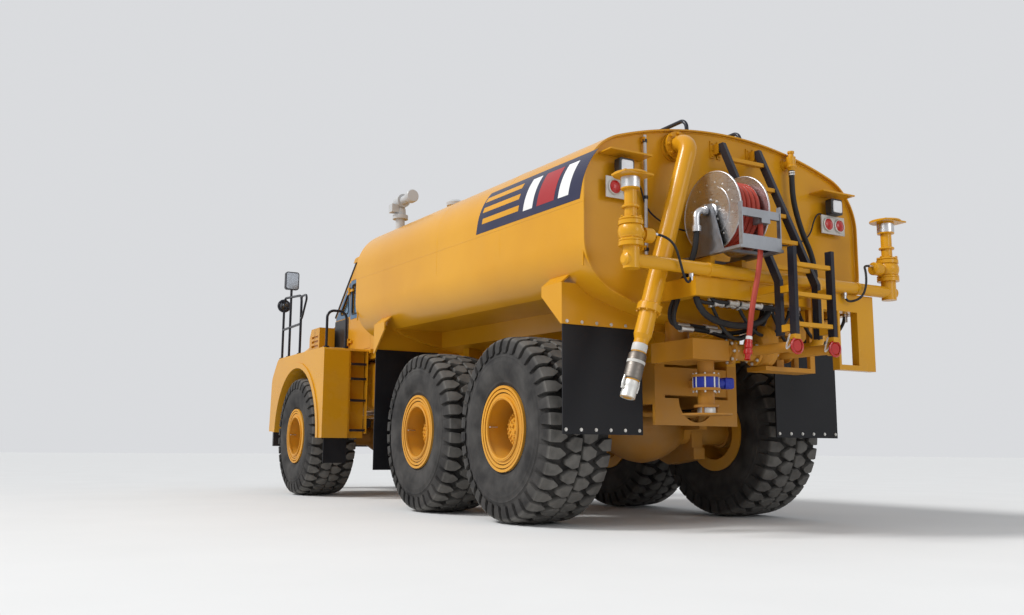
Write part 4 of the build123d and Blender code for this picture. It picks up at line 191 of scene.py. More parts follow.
def tube(path: Point, radius: float | Array, sides: int = 12) -> Surface:
    """Carry a circle along a path: each ring is the path's point plus radius times (cos, sin) across it.

    Args:
        path: Rows of x, y and z.
        radius: One radius, or one for each point of the path.
        sides: Facets round the tube.

    Returns:
        The capped tube.
    """
    line = np.asarray(path, float)
    along = np.gradient(line, axis=0)
    along /= np.linalg.norm(along, axis=1, keepdims=True)
    guide = np.eye(3)[np.argmin(np.abs(along).max(axis=0))]
    across = np.cross(along, guide)
    across /= np.linalg.norm(across, axis=1, keepdims=True)
    upright = np.cross(across, along)
    turn = np.linspace(0.0, FULL_TURN, sides, endpoint=False)
    ring = np.cos(turn)[None, :, None] * across[:, None, :] + np.sin(turn)[None, :, None] * upright[:, None, :]
    radii = np.broadcast_to(radius, len(line))[:, None, None]
    return grid(line[:, None, :] + radii * ring, round_columns=True, caps=True)


def rounded_loop(outline: Point, corner: float, steps: int = 7) -> Array:
    """Round an outline's corners with parabolas from tangent point to tangent point.

    Args:
        outline: Rows of two coordinates in order round the outline.
        corner: Radius of the corners.
        steps: Points on each corner.

    Returns:
        Rows of two coordinates, the first repeated at the end.
    """
    here = np.asarray(outline, float)
    back, ahead = np.roll(here, 1, axis=0) - here, np.roll(here, -1, axis=0) - here
    back /= np.linalg.norm(back, axis=1, keepdims=True)
    ahead /= np.linalg.norm(ahead, axis=1, keepdims=True)
    half = np.arccos(np.clip((back * ahead).sum(axis=1), -1.0, 1.0)) / 2
    reach = (corner / np.tan(half))[:, None, None]
    share = np.linspace(0.0, 1.0, steps)[None, :, None]
    points = here[:, None] + reach * ((1 - share) ** 2 * back[:, None] + share**2 * ahead[:, None])
    flat = points.reshape(-1, 2)
    return np.vstack((flat, flat[:1]))


def rounded_box(low: Point, high: Point, corner: float) -> Array:
    """A rounded rectangle between two corners, its first point repeated at the end."""
    return rounded_loop([low, (high[0], low[1]), high, (low[0], high[1])], corner)


def upright(loop: Array, y: float) -> Array:
    """Rows of (x, z) as points in the upright plane at a distance across the truck."""
    return np.column_stack((loop[:, 0], np.full(len(loop), y), loop[:, 1]))


def frame_of(axis: Point) -> tuple[Array, Array, Array]:
    """Three directions square to each other, the last along an axis.

    Args:
        axis: The direction to keep.

    Returns:
        Two directions across the axis, and the axis.
    """
    along = np.asarray(axis, float) / np.linalg.norm(axis)
    across = np.cross(np.eye(3)[np.argmin(np.abs(along))], along)
    across /= np.linalg.norm(across)
    return across, np.cross(along, across), along


def revolved(profile: Point, origin: Point, axis: Point, segments: int = 48) -> Surface:
    """Turn a closed profile of (along, radius) rows about an axis: origin + along axis + radius (cos, sin).

    Args:
        profile: The profile's corners in order round it.
        origin: A point on the axis.
        axis: The axis to turn about.
        segments: Facets in a full turn.

    Returns:
        A closed ring or disc.
    """
    rows = np.asarray(profile, float)
    u, v, w = frame_of(axis)
    turn = np.linspace(0.0, FULL_TURN, segments, endpoint=False)
    circle = np.cos(turn)[:, None] * u + np.sin(turn)[:, None] * v
    points = np.asarray(origin, float) + rows[:, 0, None, None] * w + rows[:, 1, None, None] * circle[None]
    return grid(points, round_rows=True, round_columns=True)


def collar(low: float, high: float, inner: float, outer: float, origin: Point, axis: Point, segments: int) -> Surface:
    """A ring of square section, from low to high along an axis and from an inner to an outer radius."""
    return revolved([(low, inner), (low, outer), (high, outer), (high, inner)], origin, axis, segments)


def prism(outline: Point, depth: float, chamfer: float = 0.0) -> Surface:
    """Raise an outline of (u, v) rows from 0 to a depth, with both ends drawn in by a chamfer.

    Args:
        outline: The outline's corners in order.
        depth: Height along w.
        chamfer: How far the ends' edges are drawn in.

    Returns:
        A closed prism in (u, v, w).
    """
    flat = np.asarray(outline, float)
    middle = flat.mean(axis=0)
    reach = np.linalg.norm(flat - middle, axis=1, keepdims=True)
    drawn = middle + (flat - middle) * (1.0 - 1.4 * chamfer / reach)
    levels = ((drawn, 0.0), (flat, chamfer), (flat, depth - chamfer), (drawn, depth)) if chamfer else (
        (flat, 0.0), (flat, depth))
    rows = [np.column_stack((corners, np.full(len(corners), level))) for corners, level in levels]
    return grid(np.stack(rows), round_columns=True, caps=True)


def block(low: Point, high: Point, chamfer: float = 0.004) -> Surface:
    """A box between two corners with its edges along X and Y drawn in.

    Args:
        low: The lowest corner.
        high: The highest corner.
        chamfer: How far the edges are drawn in.

    Returns:
        A closed box.
    """
    x0, y0, z0 = low
    x1, y1, z1 = high
    shape = prism([(x0, y0), (x1, y0), (x1, y1), (x0, y1)], z1 - z0, chamfer)
    return shape.placed((0, 0, z0), AHEAD, ACROSS, UP)


def round_places(count: int, radius: float, centre: Point, axis: Point, start: float = 0.0) -> Array:
    """Even places round a circle: centre + radius (cos, sin) across the axis.

    Args:
        count: How many places.
        radius: The circle's radius.
        centre: Its middle.
        axis: The direction square to it.
        start: Angle of the first place.

    Returns:
        Rows of x, y and z.
    """
    u, v, _ = frame_of(axis)
    turn = start + np.linspace(0.0, FULL_TURN, count, endpoint=False)
    return np.asarray(centre, float) + radius * (np.cos(turn)[:, None] * u + np.sin(turn)[:, None] * v)


def bolt_heads(places: Array, axis: Point, radius: float, height: float) -> Surface:
    """Six-sided bolt heads on round washers.

    Args:
        places: Rows of x, y and z on the seat.
        axis: The way the heads stand out.
        radius: A head's radius at its corners.
        height: A head's height with its washer.

    Returns:
        All the heads as one surface.
    """
    def polygon(sides: int, reach: float) -> Array:
        """Corners of a regular polygon."""
        turn = np.linspace(0.0, FULL_TURN, sides, endpoint=False)
        return reach * np.column_stack((np.cos(turn), np.sin(turn)))

    u, v, w = frame_of(axis)
    washer = prism(polygon(12, radius * 1.35), height * 0.25)
    head = prism(polygon(6, radius), height, height * 0.14)
    return merged((washer, head)).placed((0, 0, 0), u, v, w).repeated(places)


class Gloss(Enum):
    """How rough a finish is, from a mirror to chalk."""

    POLISHED = 0.10
    GLOSS = 0.24
    SATIN = 0.42
    MATTE = 0.78


class ShaderSketch:
    """A material's nodes, with short calls for those that the finishes share."""

    def __init__(self, name: str) -> None:
        """Start a material with a Principled shader and Object coordinates.

        Args:
            name: The material's name.
        """
        self.material = bpy.data.materials.new(name)
        self.material.use_nodes = True
        self.nodes = self.material.node_tree.nodes
        self.links = self.material.node_tree.links
        self.shader = self.nodes["Principled BSDF"]
        self.place = self.nodes.new("ShaderNodeTexCoord").outputs["Object"]

    def join(self, source: Socket, target: Socket) -> None:
        """Link one socket to another."""
        self.links.new(source, target)

    def fix(self, **values: float | Sequence[float]) -> None:
        """Set the shader's own sockets, named with underscores for blanks."""
        for name, value in values.items():
            self.shader.inputs[name.replace("_", " ")].default_value = value

    def noise(self, scale: float, detail: float = 4.0, stretch: Point = (1, 1, 1)) -> Socket:
        """Noise over the object.

        Args:
            scale: Lumps in a metre.
            detail: Octaves of finer lumps.
            stretch: Scale along each axis.

        Returns:
            The noise's value, from 0 to 1.
        """
        mapping = self.nodes.new("ShaderNodeMapping")
        mapping.inputs["Scale"].default_value = stretch
        self.join(self.place, mapping.inputs["Vector"])
        texture = self.nodes.new("ShaderNodeTexNoise")
        texture.inputs["Scale"].default_value = scale
        texture.inputs["Detail"].default_value = detail
        self.join(mapping.outputs["Vector"], texture.inputs["Vector"])
        return texture.outputs["Fac"]

    def part(self, vector: Socket, axis: str) -> Socket:
        """One coordinate of a vector.

        Args:
            vector: The vector's socket.
            axis: X, Y or Z.

        Returns:
            That coordinate.
        """
        split = self.nodes.new("ShaderNodeSeparateXYZ")
        self.join(vector, split.inputs["Vector"])
        return split.outputs[axis]

    def wear(self) -> Socket:
        """The share of wear and painted highlight, from the UV map's second coordinate."""
        return self.part(self.nodes.new("ShaderNodeUVMap").outputs["UV"], "Y")

    def height(self) -> Socket:
        """The height above the ground."""
        return self.part(self.place, "Z")

    def wave(self, way: str, scale: float, waver: float = 0.0) -> Socket:
        """Even bands over the object.

        Args:
            way: The axis along which the bands follow each other.
            scale: How close the bands are.
            waver: How far they stray.

        Returns:
            The bands' value, from 0 to 1.
        """
        texture = self.nodes.new("ShaderNodeTexWave")
        texture.bands_direction = way
        texture.inputs["Scale"].default_value = scale
        texture.inputs["Distortion"].default_value = waver
        self.join(self.place, texture.inputs["Vector"])
        return texture.outputs["Fac"]

    def span(self, value: Socket, source: tuple[float, float], target: tuple[float, float]) -> Socket:
        """Carry a value from one range to another, clamped.

        Args:
            value: The socket to carry.
            source: The range that it has.
            target: The range that it gets.

        Returns:
            The carried value.
        """
        node = self.nodes.new("ShaderNodeMapRange")
        for name, number in zip(("From Min", "From Max", "To Min", "To Max"), (*source, *target)):
            node.inputs[name].default_value = number
        self.join(value, node.inputs["Value"])
        return node.outputs["Result"]

    def times(self, first: Socket, second: Socket) -> Socket:
        """Multiply two values.

        Args:
            first: One value's socket.
            second: The other's.

        Returns:
            The product.
        """
        node = self.nodes.new("ShaderNodeMath")
        node.operation = "MULTIPLY"
        self.join(first, node.inputs[0])
        self.join(second, node.inputs[1])
        return node.outputs["Value"]

    def mix(self, share: Socket, first: Colour | Socket, second: Colour) -> Socket:
        """Blend two colours by a share.

        Args:
            share: 0 for the first colour, 1 for the second.
            first: A colour, or a socket that gives one.
            second: A colour.

        Returns:
            The blended colour.
        """
        node = self.nodes.new("ShaderNodeMix")
        node.data_type = "RGBA"
        self.join(share, node.inputs["Factor"])
        if isinstance(first, tuple):
            node.inputs[6].default_value = (*first, 1.0)
        else:
            self.join(first, node.inputs[6])
        node.inputs[7].default_value = (*second, 1.0)
        return node.outputs[2]

    def tint(self, colour: Socket) -> None:
        """Lead a colour to the shader."""
        self.join(colour, self.shader.inputs["Base Color"])

    def roughen(self, value: Socket, source: tuple[float, float], target: tuple[float, float]) -> None:
        """Lead a value to the shader's roughness, carried from one range to another."""
        self.join(self.span(value, source, target), self.shader.inputs["Roughness"])

    def bump(self, relief: Socket, strength: float, distance: float) -> None:
        """Raise the surface by a relief.

        Args:
            relief: The height's socket.
            strength: Share of the relief that shows.
            distance: Height of the full relief in metres.
        """
        node = self.nodes.new("ShaderNodeBump")
        node.inputs["Strength"].default_value = strength
        node.inputs["Distance"].default_value = distance
        self.join(relief, node.inputs["Height"])
        self.join(node.outputs["Normal"], self.shader.inputs["Normal"])


# Dust from dry roads, linear colour
ROAD_DUST = (0.30, 0.23, 0.14)


@dataclass(frozen=True)
class PaintFinish:
    """Sprayed enamel with deeper patches, road dust low on the truck and a faint ripple.

    Args:
        name: The finish's name.
        colour: The clean coat.
        shade: The deeper tone in patches.
        gloss: How rough the clean coat is.
        dust: Share of dust near the ground.
    """

    name: str
    colour: Colour
    shade: Colour
    gloss: Gloss = Gloss.GLOSS
    dust: float = 0.45

    def material(self) -> bpy.types.Material:
        """Build the paint's nodes.

        Returns:
            The material.
        """
        sketch = ShaderSketch(self.name)
        patches = sketch.span(sketch.noise(0.7, 5.0), (0.35, 0.75), (0.0, 1.0))
        coat = sketch.mix(patches, self.colour, self.shade)
        low = sketch.span(sketch.height(), (0.35, 2.0), (self.dust, 0.03))
        dust = sketch.times(low, sketch.span(sketch.noise(3.2, 8.0), (0.38, 0.72), (0.15, 1.0)))
        sketch.tint(sketch.mix(dust, coat, ROAD_DUST))
        rough = self.gloss.value
        sketch.roughen(dust, (0.0, 0.5), (rough, min(1.0, rough + 0.4)))
        sketch.bump(sketch.noise(14.0, 3.0), 0.10, 0.0015)
        clear_coat = 0.08 if self.gloss is Gloss.GLOSS else 0.04
        sketch.fix(Specular_IOR_Level=0.24, Coat_Weight=clear_coat, Coat_Roughness=0.12)
        return sketch.material


@dataclass(frozen=True)
class RubberFinish:
    """Moulded rubber with grey bloom, dust and fine grain.

    Args:
        name: The finish's name.
        colour: The bare rubber.
        bloom: The colour of dust and bloom on it.
        cover: The largest share of bloom.
        grain: Grain lumps in a metre.
        gloss: How rough the rubber is.
        worn_highlight: The colour of the lugs' tops, partly wear and partly painted highlight, by the UV map's second
            coordinate, or None.
    """

    name: str
    colour: Colour
    bloom: Colour
    cover: float
    grain: float = 90.0
    gloss: Gloss = Gloss.MATTE
    worn_highlight: Colour | None = None

    def material(self) -> bpy.types.Material:
        """Build the rubber's nodes.

        Returns:
            The material.
        """
        sketch = ShaderSketch(self.name)
        patches = sketch.span(sketch.noise(5.0, 9.0), (0.3, 0.75), (0.0, self.cover))
        skin = sketch.mix(patches, self.colour, self.bloom)
        # Lighter lug tops: partly wear, partly painted highlight on the lugs, with the grooves left dark as painted
        # shade
        if self.worn_highlight:
            wear = sketch.times(sketch.wear(), sketch.span(sketch.noise(9.0, 6.0), (0.25, 0.70), (0.35, 1.0)))
            skin = sketch.mix(wear, skin, self.worn_highlight)
        sketch.tint(skin)
        sketch.roughen(patches, (0.0, 1.0), (self.gloss.value, 0.95))
        sketch.bump(sketch.noise(self.grain, 6.0), 0.35, 0.002)
        sketch.fix(Specular_IOR_Level=0.25)
        return sketch.material


@dataclass(frozen=True)
class MetalFinish:
    """Bare metal with brush lines along one way and slight darker patches: stains, and on the bright steel also painted
    dark reflections.

    Args:
        name: The finish's name.
        colour: The clean metal.
        patch_tone: The tone of its darker patches.
        gloss: How rough the metal is.
        brush: Stretch of the brush lines along each axis.
    """

    name: str
    colour: Colour
    patch_tone: Colour
    gloss: Gloss
    brush: tuple[float, float, float] = (1.0, 1.0, 12.0)

    def material(self) -> bpy.types.Material:
        """Build the metal's nodes.

        Returns:
            The material.
        """
        sketch = ShaderSketch(self.name)
        # Darker patches: stains, and on the bright steel partly painted dark reflection
        dark_patches = sketch.span(sketch.noise(4.0, 6.0), (0.45, 0.85), (0.0, 0.6))
        sketch.tint(sketch.mix(dark_patches, self.colour, self.patch_tone))
        lines = sketch.noise(26.0, 5.0, self.brush)
        sketch.roughen(lines, (0.3, 0.7), (self.gloss.value, self.gloss.value + 0.16))
        sketch.bump(lines, 0.08, 0.0005)
        sketch.fix(Metallic=1.0)
        return sketch.material


@dataclass(frozen=True)
class PlasticFinish:
    """Moulded plastic with a fine grain and scuffs.

    Args:
        name: The finish's name.
        colour: The plastic.
        scuff: The tone of its scuffs.
        gloss: How rough it is.
        clear: Share of light that passes through.
        ribs: Moulded lines in a metre, or 0 for grain.
    """

    name: str
    colour: Colour
    scuff: Colour
    gloss: Gloss
    clear: float = 0.0
    ribs: float = 0.0

    def material(self) -> bpy.types.Material:
        """Build the plastic's nodes.

        Returns:
            The material.
        """
        sketch = ShaderSketch(self.name)
        scuffs = sketch.span(sketch.noise(9.0, 8.0), (0.45, 0.8), (0.0, 0.5))
        sketch.tint(sketch.mix(scuffs, self.colour, self.scuff))
        sketch.roughen(scuffs, (0.0, 0.5), (self.gloss.value, self.gloss.value + 0.12))
        relief = sketch.wave("Z", self.ribs) if self.ribs else sketch.noise(160.0, 3.0)
        sketch.bump(relief, 0.3 if self.ribs else 0.12, 0.001)
        sketch.fix(Transmission_Weight=self.clear, IOR=1.49)
        return sketch.material


@dataclass(frozen=True)
class ClothFinish:
    """Woven seat cloth with crossing threads.

    Args:
        name: The finish's name.
        colour: The cloth.
        thread: The paler thread.
    """

    name: str
    colour: Colour
    thread: Colour

    def material(self) -> bpy.types.Material:
        """Build the cloth's nodes from two crossed sets of threads.

        Returns:
            The material.
        """
        sketch = ShaderSketch(self.name)
        weave = sketch.times(*(sketch.wave(way, 55.0, 0.6) for way in ("X", "Z")))
        sketch.tint(sketch.mix(weave, self.colour, self.thread))
        sketch.bump(weave, 0.5, 0.0015)
        sketch.fix(Roughness=0.92, Sheen_Weight=0.3)
        return sketch.material


YELLOW = (0.63, 0.298, 0.009)
YELLOW_SHADE = (0.54, 0.240, 0.006)
FINISHES = {
    "body_yellow": PaintFinish("body_yellow_enamel", YELLOW, YELLOW_SHADE, Gloss.GLOSS, 0.30),
    "chassis_yellow": PaintFinish("chassis_yellow_enamel", (0.52, 0.225, 0.012), (0.36, 0.145, 0.009), Gloss.SATIN,
                                  0.5),
    "rim_yellow": PaintFinish("rim_yellow_enamel", (0.68, 0.31, 0.014), (0.54, 0.225, 0.010), Gloss.SATIN, 0.35),
    "rail_black": PaintFinish("rail_navy_black", (0.010, 0.011, 0.018), (0.018, 0.020, 0.030), Gloss.GLOSS, 0.12),
    # tyre rubber: its last colour lightens the lugs' tops, partly as wear and partly as painted highlight
    "tyre_rubber": RubberFinish("tyre_rubber", (0.016, 0.015, 0.015), (0.105, 0.099, 0.092), 0.58, 70.0, Gloss.MATTE,
                                (0.150, 0.142, 0.130)),
    "flap_rubber": RubberFinish("flap_rubber", (0.006, 0.006, 0.008), (0.017, 0.017, 0.019), 0.25, 40.0, Gloss.SATIN),
    "hose_red": RubberFinish("hose_red_rubber", (0.36, 0.036, 0.020), (0.42, 0.10, 0.065), 0.35, 60.0, Gloss.SATIN),
    "hose_black": RubberFinish("hose_black_rubber", (0.012, 0.012, 0.013), (0.05, 0.05, 0.05), 0.3, 80.0, Gloss.SATIN),
    # bright steel: its darker patches stand partly for stains and partly for painted dark reflections on the reel's
    # discs
    "steel": MetalFinish("steel_stains_and_painted_reflection", (0.62, 0.62, 0.63), (0.40, 0.38, 0.36), Gloss.GLOSS),
    "rod_chrome": MetalFinish("cylinder_chrome", (0.80, 0.80, 0.82), (0.68, 0.68, 0.70), Gloss.POLISHED),
    "lamp_plate": PaintFinish("lamp_plate_white", (0.60, 0.59, 0.56), (0.50, 0.48, 0.44), Gloss.SATIN, 0.3),
    "lens_red": PlasticFinish("lens_red_plastic", (0.42, 0.010, 0.008), (0.52, 0.04, 0.03), Gloss.POLISHED, 0.0, 40.0),
    "lamp_clear": PlasticFinish("lamp_clear_lens", (0.88, 0.90, 0.92), (0.78, 0.79, 0.80), Gloss.POLISHED, 0.55, 30.0),
    "monitor_grey": PaintFinish("monitor_pale_grey", (0.50, 0.50, 0.50), (0.40, 0.40, 0.39), Gloss.SATIN, 0.2),
    "window_glass": PlasticFinish("cab_tinted_glass", (0.36, 0.58, 0.78), (0.40, 0.60, 0.78), Gloss.POLISHED, 0.82),
    "dark_plastic": PlasticFinish("dark_moulding", (0.016, 0.016, 0.018), (0.05, 0.05, 0.05), Gloss.SATIN),
    "seat_cloth": ClothFinish("seat_cloth", (0.022, 0.022, 0.025), (0.060, 0.060, 0.065)),
    "cast": MetalFinish("engine_cast_iron", (0.16, 0.16, 0.15), (0.09, 0.08, 0.07), Gloss.MATTE, (1, 1, 1)),
    "panel_navy": PaintFinish("side_panel_navy", (0.016, 0.018, 0.050), (0.022, 0.024, 0.060), Gloss.GLOSS, 0.1),
    "panel_red": PaintFinish("side_panel_red", (0.36, 0.022, 0.028), (0.30, 0.018, 0.022), Gloss.GLOSS, 0.1),
    "panel_white": PaintFinish("side_panel_white", (0.80, 0.80, 0.78), (0.72, 0.71, 0.69), Gloss.GLOSS, 0.1),
    "valve_blue": PaintFinish("valve_blue_enamel", (0.012, 0.035, 0.40), (0.010, 0.026, 0.30), Gloss.GLOSS, 0.15),
    "frame_grey": MetalFinish("reel_frame_grey", (0.30, 0.31, 0.33), (0.22, 0.22, 0.23), Gloss.SATIN, (1, 1, 1)),
    "lamp_bright": PlasticFinish("work_lamp_lens", (0.80, 0.82, 0.85), (0.45, 0.47, 0.50), Gloss.POLISHED, 0.0, 26.0),
    "mirror": MetalFinish("mirror_silver", (0.13, 0.14, 0.155), (0.10, 0.105, 0.115), Gloss.POLISHED),
    "glass_band": PlasticFinish("tinted_glass_band", (0.045, 0.115, 0.210), (0.055, 0.125, 0.215), Gloss.POLISHED),
    "zinc": MetalFinish("zinc_bolts", (0.66, 0.65, 0.62), (0.42, 0.38, 0.32), Gloss.SATIN, (1, 1, 1)),
    "pipe_dark": MetalFinish("weathered_pipe", (0.20, 0.18, 0.16), (0.10, 0.07, 0.05), Gloss.SATIN, (1, 1, 6)),
    # painted shade: near-black rubber for the rings laid in the rims' gaps, where shadow falls
    "gap_dark": RubberFinish("rim_gap_painted_shade_rubber", (0.020, 0.014, 0.010), (0.07, 0.05, 0.03), 0.4, 30.0),
}


class Palette:
    """The materials, each built once from its finish."""

    def __init__(self) -> None:
        """Start with nothing built."""
        self.built: dict[str, bpy.types.Material] = {}

    def __getitem__(self, slot: str) -> bpy.types.Material:
        """Give a slot's material, built when it is first asked for.

        Args:
            slot: The finish's key.

        Returns:
            The material.
        """
        if slot not in self.built:
            self.built[slot] = FINISHES[slot].material()
        return self.built[slot]


PALETTE = Palette()
RECORD_SLOTS: set[str] = set()


def finish_piece(piece: bpy.types.Object, body: str, slot: str) -> bpy.types.Object:
    """Dress a new piece, set it on a body and report it.

    Args:
        piece: The piece, with its place in its data.
        body: The CAD body that it rides on.
        slot: The finish that it takes.

    Returns:
        The same piece.
    """
    bpy.context.scene.collection.objects.link(piece)
    piece.data.materials.append(PALETTE[slot])
    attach(piece, body)
    slot in RECORD_SLOTS
    LOG.info("%s rides on %s", piece.name, body)
    return piece


def make_piece(name: str, surface: Surface, body: str, slot: str, smooth: float = 35.0) -> bpy.types.Object:
    """Turn a surface into a piece with merged doubles, outward faces and sharp edges kept.

    Args:
        name: The piece's name.
        surface: Its closed surface.
        body: The CAD body that it rides on.
        slot: The finish that it takes.
        smooth: Edges under this angle in degrees are shaded smooth.

    Returns:
        The piece.
    """
    mesh = bpy.data.meshes.new(name)
    mesh.from_pydata(surface.points.tolist(), [], [*surface.quads.tolist(), *surface.triangles.tolist()])
    tidy = bmesh.new()
    tidy.from_mesh(mesh)
    bmesh.ops.remove_doubles(tidy, verts=tidy.verts, dist=1e-6)
    bmesh.ops.dissolve_degenerate(tidy, edges=tidy.edges, dist=1e-7)
    bmesh.ops.recalc_face_normals(tidy, faces=tidy.faces)
    tidy.to_mesh(mesh)
    tidy.free()
    mesh.polygons.foreach_set("use_smooth", np.ones(len(mesh.polygons), bool))
    mesh.set_sharp_from_angle(angle=math.radians(smooth))
    return finish_piece(bpy.data.objects.new(name, mesh), body, slot)


def make_hose(name: str, route: Point, radius: float, body: str, slot: str = "hose_black") -> bpy.types.Object:
    """A hose or cable on one NURBS spline with the route's points as its control points.

    Args:
        name: The piece's name.
        route: Rows of x, y and z.
        radius: The hose's radius.
        body: The CAD body that it rides on.
        slot: The finish that it takes.

    Returns:
        The piece, a curve.
    """
    line = bpy.data.curves.new(name, "CURVE")
    line.dimensions = "3D"
    spline = line.splines.new("NURBS")
    spline.points.add(len(route) - 1)
    spline.points.foreach_set("co", np.column_stack((np.asarray(route, float), np.ones(len(route)))).ravel())
    spline.order_u = 3
    spline.use_endpoint_u = True
    spline.resolution_u = 10
    line.bevel_depth = radius
    line.bevel_resolution = 4
    line.use_fill_caps = True
    return finish_piece(bpy.data.objects.new(name, line), body, slot)


# Radius, height and width of each raised ring on a sidewall
SIDEWALL_RINGS = ((0.452, 0.007, 0.010), (0.655, 0.004, 0.005), (0.705, 0.005, 0.006), (0.742, 0.004, 0.004))
# Count, circle, place along the axle, first angle, head's radius and height of each row of hub bolts
HUB_BOLTS = ((20, 0.141, 0.180, 0.0, 0.0125, 0.018), (10, 0.082, 0.205, 0.0, 0.010, 0.013),
             (24, 0.262, -0.040, 0.0, 0.015, 0.022), (2, 0.034, 0.205, 0.6, 0.016, 0.016))


@dataclass
class Wheel:
    """One wheel: a lugged tyre in place of the CAD tyre, and the rim's rings and bolts.

    Args:
        name: The wheel's name in the frame, such as rear_left.
        pitches: Lugs round the tyre.
        lug_depth: Height of the lugs.
        bead: Radius at the sidewalls' beads.
        bore: Radius of the casing's inside.
        tread_half: Half the tread's width.
        crown_drop: How much lower the tread is at its edges.
    """

    name: str
    pitches: int = 36
    lug_depth: float = 0.052
    bead: float = 0.432
    bore: float = 0.322
    tread_half: float = 0.345
    crown_drop: float = 0.026

    def __post_init__(self) -> None:
        """Read the wheel's place from the frame."""
        low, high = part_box(f"{self.name}_tyre")
        self.body = f"{self.name}_wheel"
        self.centre = np.array([(low.x + high.x) / 2, (low.y + high.y) / 2, (low.z + high.z) / 2])
        self.radius = (high.z - low.z) / 2
        self.half_width = (high.y - low.y) / 2
        self.outward = math.copysign(1.0, self.centre[1])

    def to_truck(self, axial: Array, turn: Array, radius: Array) -> Array:
        """Carry wheel coordinates to the truck: across by axial, then radius times (cos, sin) of the turn.

        Args:
            axial: Distance from the wheel's middle, outwards.
            turn: Angle about the axle.
            radius: Distance from the axle.

        Returns:
            Points with x, y and z last.
        """
        return np.stack((
            self.centre[0] + radius * np.cos(turn),
            self.centre[1] + self.outward * axial + 0.0 * turn,
            self.centre[2] + radius * np.sin(turn),
        ), axis=-1)

    def crown(self, axial: Array) -> Array:
        """The tread's radius: the tyre's own, less a drop that grows with the square of the distance."""
        return self.radius - self.crown_drop * (np.asarray(axial, float) / self.tread_half) ** 2

    def carcass(self, segments: int = 108) -> Surface:
        """The casing: a parabola for each sidewall with raised rings, and a tread base under the lugs.

        Args:
            segments: Facets in a full turn.

        Returns:
            The closed casing.
        """
        rise = np.linspace(self.bead, self.radius - 0.085, 46)
        widest = 0.62
        bulge = self.half_width - 0.008 - 1.35 * (rise - widest) ** 2
        for ring, height, width in SIDEWALL_RINGS:
            bulge = bulge + height * np.exp(-(((rise - ring) / width) ** 2))
        bulge = np.minimum(bulge, self.half_width - 0.002)
        floor = np.linspace(self.tread_half - 0.022, -self.tread_half + 0.022, 15)
        axial = np.concatenate((bulge, floor, -bulge[::-1], [-0.300, 0.300]))
        radius = np.concatenate((rise, self.crown(floor) - self.lug_depth, rise[::-1], [self.bore, self.bore]))
        turn = np.linspace(0.0, FULL_TURN, segments, endpoint=False)
        return grid(self.to_truck(axial[:, None], turn[None, :], radius[:, None]), round_rows=True, round_columns=True)

    def tread_row(self, template: Surface) -> Surface:
        """Repeat a lug round the tyre: its (axial, pitch, radius) points turn by one pitch each time.

        Args:
            template: One lug with its points as axial, pitch and radius.

        Returns:
            The whole row.
        """
        step = FULL_TURN / self.pitches
        axial, pitch, radius = template.points.T
        turn = (pitch[None, :] + np.arange(self.pitches)[:, None]) * step
        points = self.to_truck(np.broadcast_to(axial, turn.shape), turn, np.broadcast_to(radius, turn.shape))
        count = len(axial)
        shift = (np.arange(self.pitches) * count)[:, None, None]
        return Surface(points.reshape(-1, 3), (template.quads[None] + shift).reshape(-1, 4),
                       (template.triangles[None] + shift).reshape(-1, 3))

    def centre_lug(self, hand: float) -> Surface:
        """A six-cornered centre lug: its foot wider than its head, with a chamfer round the top.

        Args:
            hand: 1 for the outer half of the tread, -1 for the inner half, half a pitch on.

        Returns:
            The lug in axial, pitch and radius.
        """
        corners = np.array([(0.007, -0.40), (0.085, -0.46), (0.166, -0.13), (0.158, 0.19), (0.072, 0.46),
                            (0.012, 0.33)])
        corners = corners * (hand, 1.0) + (0.0, 0.5 if hand < 0 else 0.0)
        middle = corners.mean(axis=0)
        rows = []
        for scale, sunk in ((1.07, self.lug_depth + 0.004), (1.0, 0.007), (0.93, 0.0)):
            ring = middle + (corners - middle) * scale
            rows.append(np.column_stack((ring, self.crown(ring[:, 0]) - sunk)))
        return grid(np.stack(rows), round_columns=True, caps=True)

    def shoulder_lug(self, hand: float) -> Surface:
        """A five-cornered shoulder lug that runs over the tread's edge and down the sidewall.

        Args:
            hand: 1 for the outer shoulder, -1 for the inner one.

        Returns:
            The lug in axial, pitch and radius.
        """
        axial = np.array([0.176, 0.236, 0.300, 0.336, 0.352, 0.364, 0.367])
        top = np.concatenate((self.crown(axial[:3]), self.radius - np.array([0.034, 0.062, 0.120, 0.172])))
        depth = np.array([1.0, 1.0, 1.0, 0.95, 0.8, 0.5, 0.12]) * self.lug_depth
        lean = np.radians([0.0, 0.0, 5.0, 38.0, 62.0, 82.0, 90.0])
        half = np.array([0.05, 0.33, 0.355, 0.355, 0.345, 0.315, 0.27])
        start = (0.5 if hand > 0 else 0.0) + np.linspace(0.04, -0.04, len(axial))
        foot = np.stack((axial - depth * np.sin(lean), top - depth * np.cos(lean)))
        columns = [
            np.stack((side[0] * hand, start + share * half, side[1]), axis=-1)
            for side, share in ((foot, -1.12), ((axial, top), -1.0), ((axial, top), 1.0), (foot, 1.12))
        ]
        return grid(np.stack(columns, axis=1), round_columns=True, caps=True)

    def tyre(self) -> None:
        """Build the tyre in place of its CAD node."""
        lugs = [self.tread_row(lug(hand)) for hand in SIDES for lug in (self.centre_lug, self.shoulder_lug)]
        piece = make_piece(f"{self.name}_lugged_tyre", merged((self.carcass(), *lugs)), self.body, "tyre_rubber", 32.0)
        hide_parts(f"{self.name}_tyre")
        self.map_lug_top_share(piece.data)

